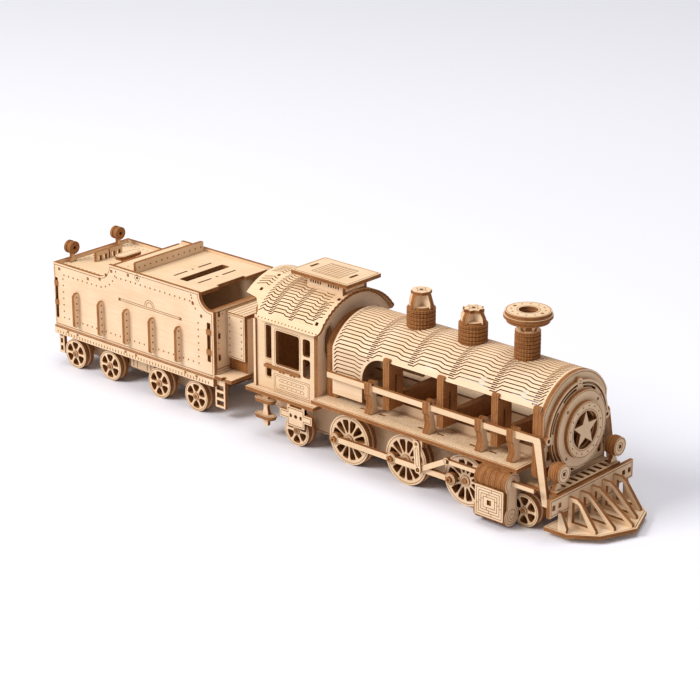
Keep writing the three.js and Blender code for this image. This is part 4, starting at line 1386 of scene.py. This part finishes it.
def tender_face(piece, face, sign, b, low_top, sill):
    """Burnt lines on the side: border, rivets, squares, the double line and its emblem."""
    rim = wound(tender_outline(b, low_top), 1)
    border = [(x, max(z, sill + 0.9)) for x, z in offset(rim, 1.0, True)]
    piece.loop("Y", face, sign, wound(border, 1), 0.3)
    first, last, low, gap, rivet = b.x0 + 7.6, b.x0 + 111.6, 28, 3.7, 0.52
    sweep = [(x, z) for x, z in offset(rim, 5.9, True) if z > low_top - 8]
    spots = [(x, z) for x, z in along_line(sweep, gap) if b.x0 + 7 < x < b.x0 + 112]
    piece.dots("Y", face, sign, spots, rivet)
    rows = int((low_top - 8 - low) / gap) + 1
    for x in (first, last):
        piece.dots("Y", face, sign, [(x, low + gap * i) for i in range(rows)], rivet)
    piece.dots("Y", face, sign, [(first + gap * (i + 1), low) for i in range(27)], rivet)
    squares = ((4.9, 55.4), (27.8, 55), (37.3, 57), (42.3, 60.5),
               (46.7, 63.5), (59.6, 64.3), (108, 60), (114, 54.5))
    for dx, z in squares:
        piece.mark("Y", face, sign, square(b.x0 + dx, z, 0.8))
    piece.ring("Y", face, sign, b.x0 + 66.6, 64.3, 1.9, 0.3, 20)
    for z in (48.7, 49.7):
        piece.strokes("Y", face, sign, [(b.x0 + 53, z), (b.x0 + 98, z)], 0.28)
    for x in (b.x0 + 52.4, b.x0 + 98.6):
        piece.mark("Y", face, sign, rect(x - 0.8, 48.4, x + 0.8, 50.0))
    for r in (3.6, 2.4):
        piece.strokes("Y", face, sign, arc(b.x0 + 75.4, 50.2, r, 0, 180, 12), 0.3)
    tender_sill(piece, face + 0.9 * sign, sign, b, sill)


def tender_rib(piece, sign, x, inner, outer):
    """An upright plate on edge, standing off the side, with its outer corners cut."""
    z0, z1 = 25.7, 45
    near, far = inner - 0.1, outer
    points = [(near, z0), (far - 0.9, z0), (far, z0 + 0.9)]
    points += [(far, z1 - 1.6), (far - 1.4, z1), (near, z1)]
    piece.plate("X", x - 1, x + 1, mirrored(points, sign))
    for face, out in ((x + 1, 1), (x - 1, -1)):
        piece.dots("X", face, out, [(sign * (inner + 1.7), z0 + 2.4 + 3.7 * i) for i in range(5)], 0.5)


def tender_sides():
    """Each side panel with its thicker sill, latches, burnt lines and five ribs."""
    low_top, floor = Box("tender_rear").z1, Box("tender_floor")
    for piece, b, _, sign in both("tender_side"):
        out = b.outer - RIB_DEPTH
        outline = tender_outline(b, low_top)
        sill = floor.z1 - 1.6
        holes = [
            round_rect(b.x0 + 1.3, 27, b.x0 + 3.2, 50, 0.5),
            round_rect(b.x1 - 4.8, 30.6, b.x1 - 2.3, 52, 0.5),
            rect(b.x0 + 66, 63.7, b.x0 + 67.2, 64.9),
        ]
        piece.wall(sign, out - SHEET, out, outline, holes)
        piece.wall(sign, out - 0.05, out + 0.9, rect(b.x0, b.z0, b.x1, sill))
        tender_side_tabs(piece, sign, b, out)
        tender_face(piece, sign * out, sign, b, low_top, sill)
        for i in range(5):
            tender_rib(piece, sign, b.x0 + 18.9 + 19.7 * i, out, b.outer)


def spring_plate(piece, sign, x0, under):
    """The plate that hangs between the two pairs of wheels, with burnt upright lines."""
    outer = 21
    piece.wall(sign, outer - SHEET, outer, rect(x0, 9, x0 + 18, under))
    for dx in (2.4, 5.2, 12.8, 15.6):
        piece.strokes("Y", sign * outer, sign, [(x0 + dx, 9.6), (x0 + dx, 17.5)], 0.5)


def tender_body():
    """Under the tender: floor, front platform, bearers, spring plates, ladders and drawbar."""
    side = Box("tender_side_left")
    piece = Piece("tender_floor")
    inside, edge = side.inner - GAP, piece.box.outer
    top = side.z0 + 6.2
    under = top - SHEET + 0.1
    wall_x = side.x1
    piece.plate("Z", top - SHEET, top, rect(side.x0 + 2.1, -inside, wall_x + 0.9, inside))
    notch = [(0.1, -edge), (5.2, -edge), (5.2, -edge + 2), (7.7, -edge + 2), (7.7, -edge), (12.2, -edge)]
    platform = moved(both_halves(notch), wall_x, 0)
    piece.plate("Z", top - SHEET, top, platform)
    axles = [Box(f"tender_wheelset_{i}") for i in (1, 2, 3, 4)]
    holes = [circle(axle.cx, axle.cz, AXLE_HOLE, 20) for axle in axles]
    rear, front = side.x0 + 5, wall_x - 4.8
    bearer = [(rear, 12), (rear + 6, 5), (front - 6, 5), (front, 12), (front, under), (rear, under)]
    for _, sign in SIDES:
        piece.wall(sign, 13, 15, bearer, holes)
        spring_plate(piece, sign, side.x0 + 52, under)
        for x0, x1 in ((wall_x - 1.4, wall_x + 5.8), (side.x0 + 0.4, side.x0 + 4.6)):
            steps = [z for z in (7.4, 11.6, 15.8) if z + 2.6 < top - 2.5]
            gaps = [rect(x0 + 1.2, z, x1 - 1.2, z + 2.6) for z in steps]
            piece.wall(sign, 24.2, 26.2, rect(x0, 6, x1, under), gaps)
    pin, root = Box("cab_floor").x0 + 4, wall_x + 6.2
    piece.plate("Z", 18.5, 20.5, capsule(root, 0, pin, 0, 5, 10), [circle(pin, 0, AXLE_HOLE, 20)])
    piece.plate("X", root - 4, root, rect(-4, 18.6, 4, under))
    piece.ship()


def tender_walls():
    """The rear panel and the front bulkhead, each with a border, rivets and three lines."""
    for node, out in (("tender_rear", -1), ("tender_front", 1)):
        piece = Piece(node)
        b = piece.box
        levels = (b.z0 + 6, b.z0 + 18, b.z0 + 30)
        holes = [rect(s * 22 - 0.8, z, s * 22 + 0.8, z + 3) for s in (1, -1) for z in levels]
        piece.plate("X", b.x0, b.x1, rect(b.y0, b.z0, b.y1, b.z1), holes)
        face = b.x0 if out < 0 else b.x1
        piece.loop("X", face, out, rect(b.y0 + 1.4, b.z0 + 1.4, b.y1 - 1.4, b.z1 - 1.4), 0.4)
        left, right, low, high = b.y0 + 3.2, b.y1 - 3.2, b.z0 + 8, b.z1 - 3.2
        rim = [(left, low), (left, high), (right, high), (right, low)]
        piece.dots("X", face, out, along_line(rim, 3.1), 0.42)
        for i in range(3):
            z = b.z0 + 10 + 9 * i
            piece.strokes("X", face, out, [(-14, z), (14, z)], 0.4)
        piece.ship()


def bracket(piece, x, y, top):
    """An upright bar on three legs, set crosswise on the rear deck."""
    low, high = top - 0.1, top + 5.6
    legs = ((-4.6, -3.0), (-0.8, 0.8), (3.0, 4.6))
    outline = [(y - 4.6, low)]
    for left, right in legs:
        outline += [(y + left, low), (y + right, low), (y + right, high - 2.4)]
        if right < 4:
            outline.append((y + right + 2.2, high - 2.4))
    outline = outline[1:-1] + [(y + 4.6, high - 0.8), (y + 3.8, high), (y - 3.8, high), (y - 4.6, high - 0.8)]
    piece.plate("X", x - 1, x + 1, outline)


def tender_rear_deck():
    """The lower deck with its rivets, its two brackets, and the hatch on a short stem."""
    piece = Piece("tender_rear_deck")
    rear = piece.box
    top = rear.z0 + SHEET
    piece.plate("Z", rear.z0, top, rect(rear.x0, rear.y0, rear.x1, rear.y1))
    hatch_x = rear.x0 + 27.9
    lid_top = rear.z1 + 4.2
    piece.plate("Z", top - 0.1, lid_top - SHEET + 0.1, capsule(hatch_x, -3, hatch_x, 3, 1.8))
    piece.plate("Z", lid_top - SHEET, lid_top, capsule(hatch_x, -5.2, hatch_x, 5.2, 3.2))
    piece.loop("Z", lid_top, 1, wound(capsule(hatch_x, -5.2, hatch_x, 5.2, 2.4), 1), FINE)
    for s in (1, -1):
        piece.dots("Z", top, 1, [(rear.x0 + 3 + 3.2 * i, s * 22.5) for i in range(12)], 0.42)
        piece.dots("Z", top, 1, [(rear.x0 + 3, s * (3 + 3.2 * i)) for i in range(6)], 0.42)
        bracket(piece, rear.x0 + 11.9, s * 5, top)
    piece.ship()


def tender_top_deck():
    """The raised deck with its slots, and the upright plate that closes its rear end."""
    piece = Piece("tender_top_deck")
    deck = piece.box
    long_x = deck.x0 + 46.6
    slots = [round_rect(long_x - 2.9, -16, long_x + 2.9, 16, 1)]
    for x in (long_x - 9, long_x + 9):
        slots += [round_rect(x - 0.55, y, x + 0.55, y + 10, 0.5) for y in (-14, 4)]
    half, front, notch = deck.y1, deck.x1, deck.x1 - 2
    edge = [(front, -half), (front, -10), (notch, -10), (notch, 10), (front, 10), (front, half)]
    outline = edge + [(deck.x0 + 2.1, half), (deck.x0 + 2.1, -half)]
    piece.plate("Z", deck.z1 - SHEET, deck.z1, outline, slots)
    piece.dots("Z", deck.z1, 1, [(long_x - 9, 0), (long_x + 9, 0)], 0.8)
    piece.dots("Z", deck.z1, 1, [(deck.x0 + 9, -20 + 4 * i) for i in range(11)], 0.45)
    wall = rect(-half, deck.z0, half, deck.z1)
    gaps = [rect(s * 15 - 3, deck.z0 + 3.4, s * 15 + 3, deck.z0 + 5) for s in (1, -1)]
    piece.plate("X", deck.x0, deck.x0 + 2, wall, gaps)
    piece.ship()


def tender_plank():
    """The riveted board that stands across the top deck."""
    piece = Piece("tender_plank")
    plank = piece.box
    body = rect(plank.y0, plank.z0, plank.y1, plank.z1)
    piece.plate("X", plank.x0, plank.x1, softened_at(body, (2, 3)))
    spots = [(plank.y0 + 2.2 + (plank.y1 - plank.y0 - 4.4) * i / 11, plank.cz) for i in range(12)]
    for face, out in ((plank.x1, 1), (plank.x0, -1)):
        piece.dots("X", face, out, spots, 0.5)
    piece.ship()


def tender_locker():
    """The box at the tender's front: riveted sides over a dark recess, and a slatted top."""
    piece = Piece("tender_locker")
    b = piece.box
    recess = b.z0 + 7
    for _, s in SIDES:
        piece.wall(s, b.outer - 2, b.outer, rect(b.x0, recess, b.x1, b.z1 - 0.4))
        piece.wall(s, b.outer - 4, b.outer - 2.2, rect(b.x0 + 1, b.z0, b.x1 - 1, recess + 0.5), look=EDGE)
        for x in (b.x0 + 2.4, b.x1 - 2.4):
            spots = [(x, recess + 3 + (b.z1 - recess - 6) * i / 5) for i in range(6)]
            piece.dots("Y", s * b.outer, s, spots, 0.45)
        piece.loop("Y", s * b.outer, s, rect(b.x0 + 0.7, recess + 0.7, b.x1 - 0.7, b.z1 - 1.1), FINE)
    for x in (b.x0 + 2, b.x1):
        piece.plate("X", x - 2, x, rect(-b.outer + 2, b.z0, b.outer - 2, b.z1 - 2))
    for i in range(5):
        x = b.x0 + (b.x1 - b.x0) * i / 5
        piece.plate("Z", b.z1 - 1.9, b.z1, rect(x + 0.15, -b.outer + 0.2, x + 2.5, b.outer - 0.2))
    piece.ship()


def tender_lamps():
    """Each rear lamp: three burnt discs on a waisted stem."""
    for piece, b, _, _ in both("tender_lamp"):
        y, r = b.cy, (b.y1 - b.y0) / 2
        z = b.z1 - r
        hole = [circle(y, z, 1.0, 12)]
        layers = ((b.x0, b.x0 + 1.6, r), (b.x0 + 1.65, b.x0 + 3.3, r - 0.5), (b.x0 + 3.35, b.x1, r))
        for x0, x1, layer_r in layers:
            piece.plate("X", x0, x1, circle(y, z, layer_r, 24), hole, EDGE)
        right = [(2.4, b.z0), (2.2, b.z0 + 1.4), (1.0, b.z0 + 2.2), (1.2, z - r + 1)]
        piece.plate("X", b.x0 + 1.6, b.x0 + 3.6, moved(whole(right), y, 0))


# ---- Studio ----
def area_light(name, spot, size, power):
    data = bpy.data.lights.new(name, "AREA")
    data.shape = "DISK"
    data.size = size
    data.energy = power
    light = bpy.data.objects.new(name, data)
    light.location = spot
    light.rotation_mode = "QUATERNION"
    light.rotation_quaternion = (Vector((0, 0, 0.04)) - Vector(spot)).to_track_quat("-Z", "Y")
    bpy.context.scene.collection.objects.link(light)


def studio():
    """A round pale floor, an even surround, a soft key from the left and a soft top light."""
    floor = bpy.data.meshes.new("studio_floor")
    sides, radius = 96, 6.0
    floor.from_pydata([(x, y, 0) for x, y in circle(0, 0, radius, sides)], [], [list(range(sides))])
    nodes = Nodes("studio_paper")
    where = nodes.add("ShaderNodeTexCoord").outputs["Object"]
    cloud = nodes.noise(where, 2.0, 1.0)
    nodes.feed(nodes.shader.inputs["Roughness"], 0.9)
    paper = nodes.mix(cloud, colour(229, 228, 234), colour(232, 231, 236))
    nodes.feed(nodes.shader.inputs["Base Color"], paper)
    floor.materials.append(nodes.material)
    stage = bpy.data.objects.new("studio_floor", floor)
    bpy.context.scene.collection.objects.link(stage)
    world = bpy.data.worlds.new("studio_world")
    world.use_nodes = True
    backdrop = world.node_tree.nodes["Background"]
    backdrop.inputs["Color"].default_value = colour(246, 246, 251)
    backdrop.inputs["Strength"].default_value = 0.42
    bpy.context.scene.world = world
    area_light("key", (-0.9, -1.6, 1.5), 1.2, 49)
    area_light("top", (0.0, 0.2, 2.2), 1.6, 24)


def camera():
    """The photo's viewpoint: a long lens, from ahead and from the right, a little above."""
    azimuth, elevation = math.radians(41.84), math.radians(20.71)
    level = math.cos(elevation)
    back = Vector((math.sin(azimuth) * level, -math.cos(azimuth) * level, math.sin(elevation)))
    data = bpy.data.cameras.new("camera")
    data.sensor_width = 36
    data.lens = 122.17
    data.clip_start, data.clip_end = 0.01, 50
    view = bpy.data.objects.new("camera", data)
    view.location = Vector((6.2, 0.59, 47.3)) * MM + back * 1.1956
    view.rotation_mode = "QUATERNION"
    view.rotation_quaternion = (-back).to_track_quat("-Z", "Y")
    bpy.context.scene.collection.objects.link(view)
    bpy.context.scene.camera = view


# ---- Everything in order ----
driver_wheels()
carrier_wheels()
side_rods()
valve_gear()
frames()
cylinders()
boiler_shell()
formers()
smokebox()
chimney()
domes()
running_board()
kick_strips()
handrails()
pilot()
buffer_beam()
cowcatcher()
headlamps()
cab_floor()
cab_sides()
cab_front()
cab_rear()
cab_roof()
roof_vent()
cab_steps()
tender_sides()
tender_body()
tender_walls()
tender_rear_deck()
tender_top_deck()
tender_plank()
tender_locker()
tender_lamps()
studio()
camera()
bpy.context.scene.view_settings.view_transform = "Standard"
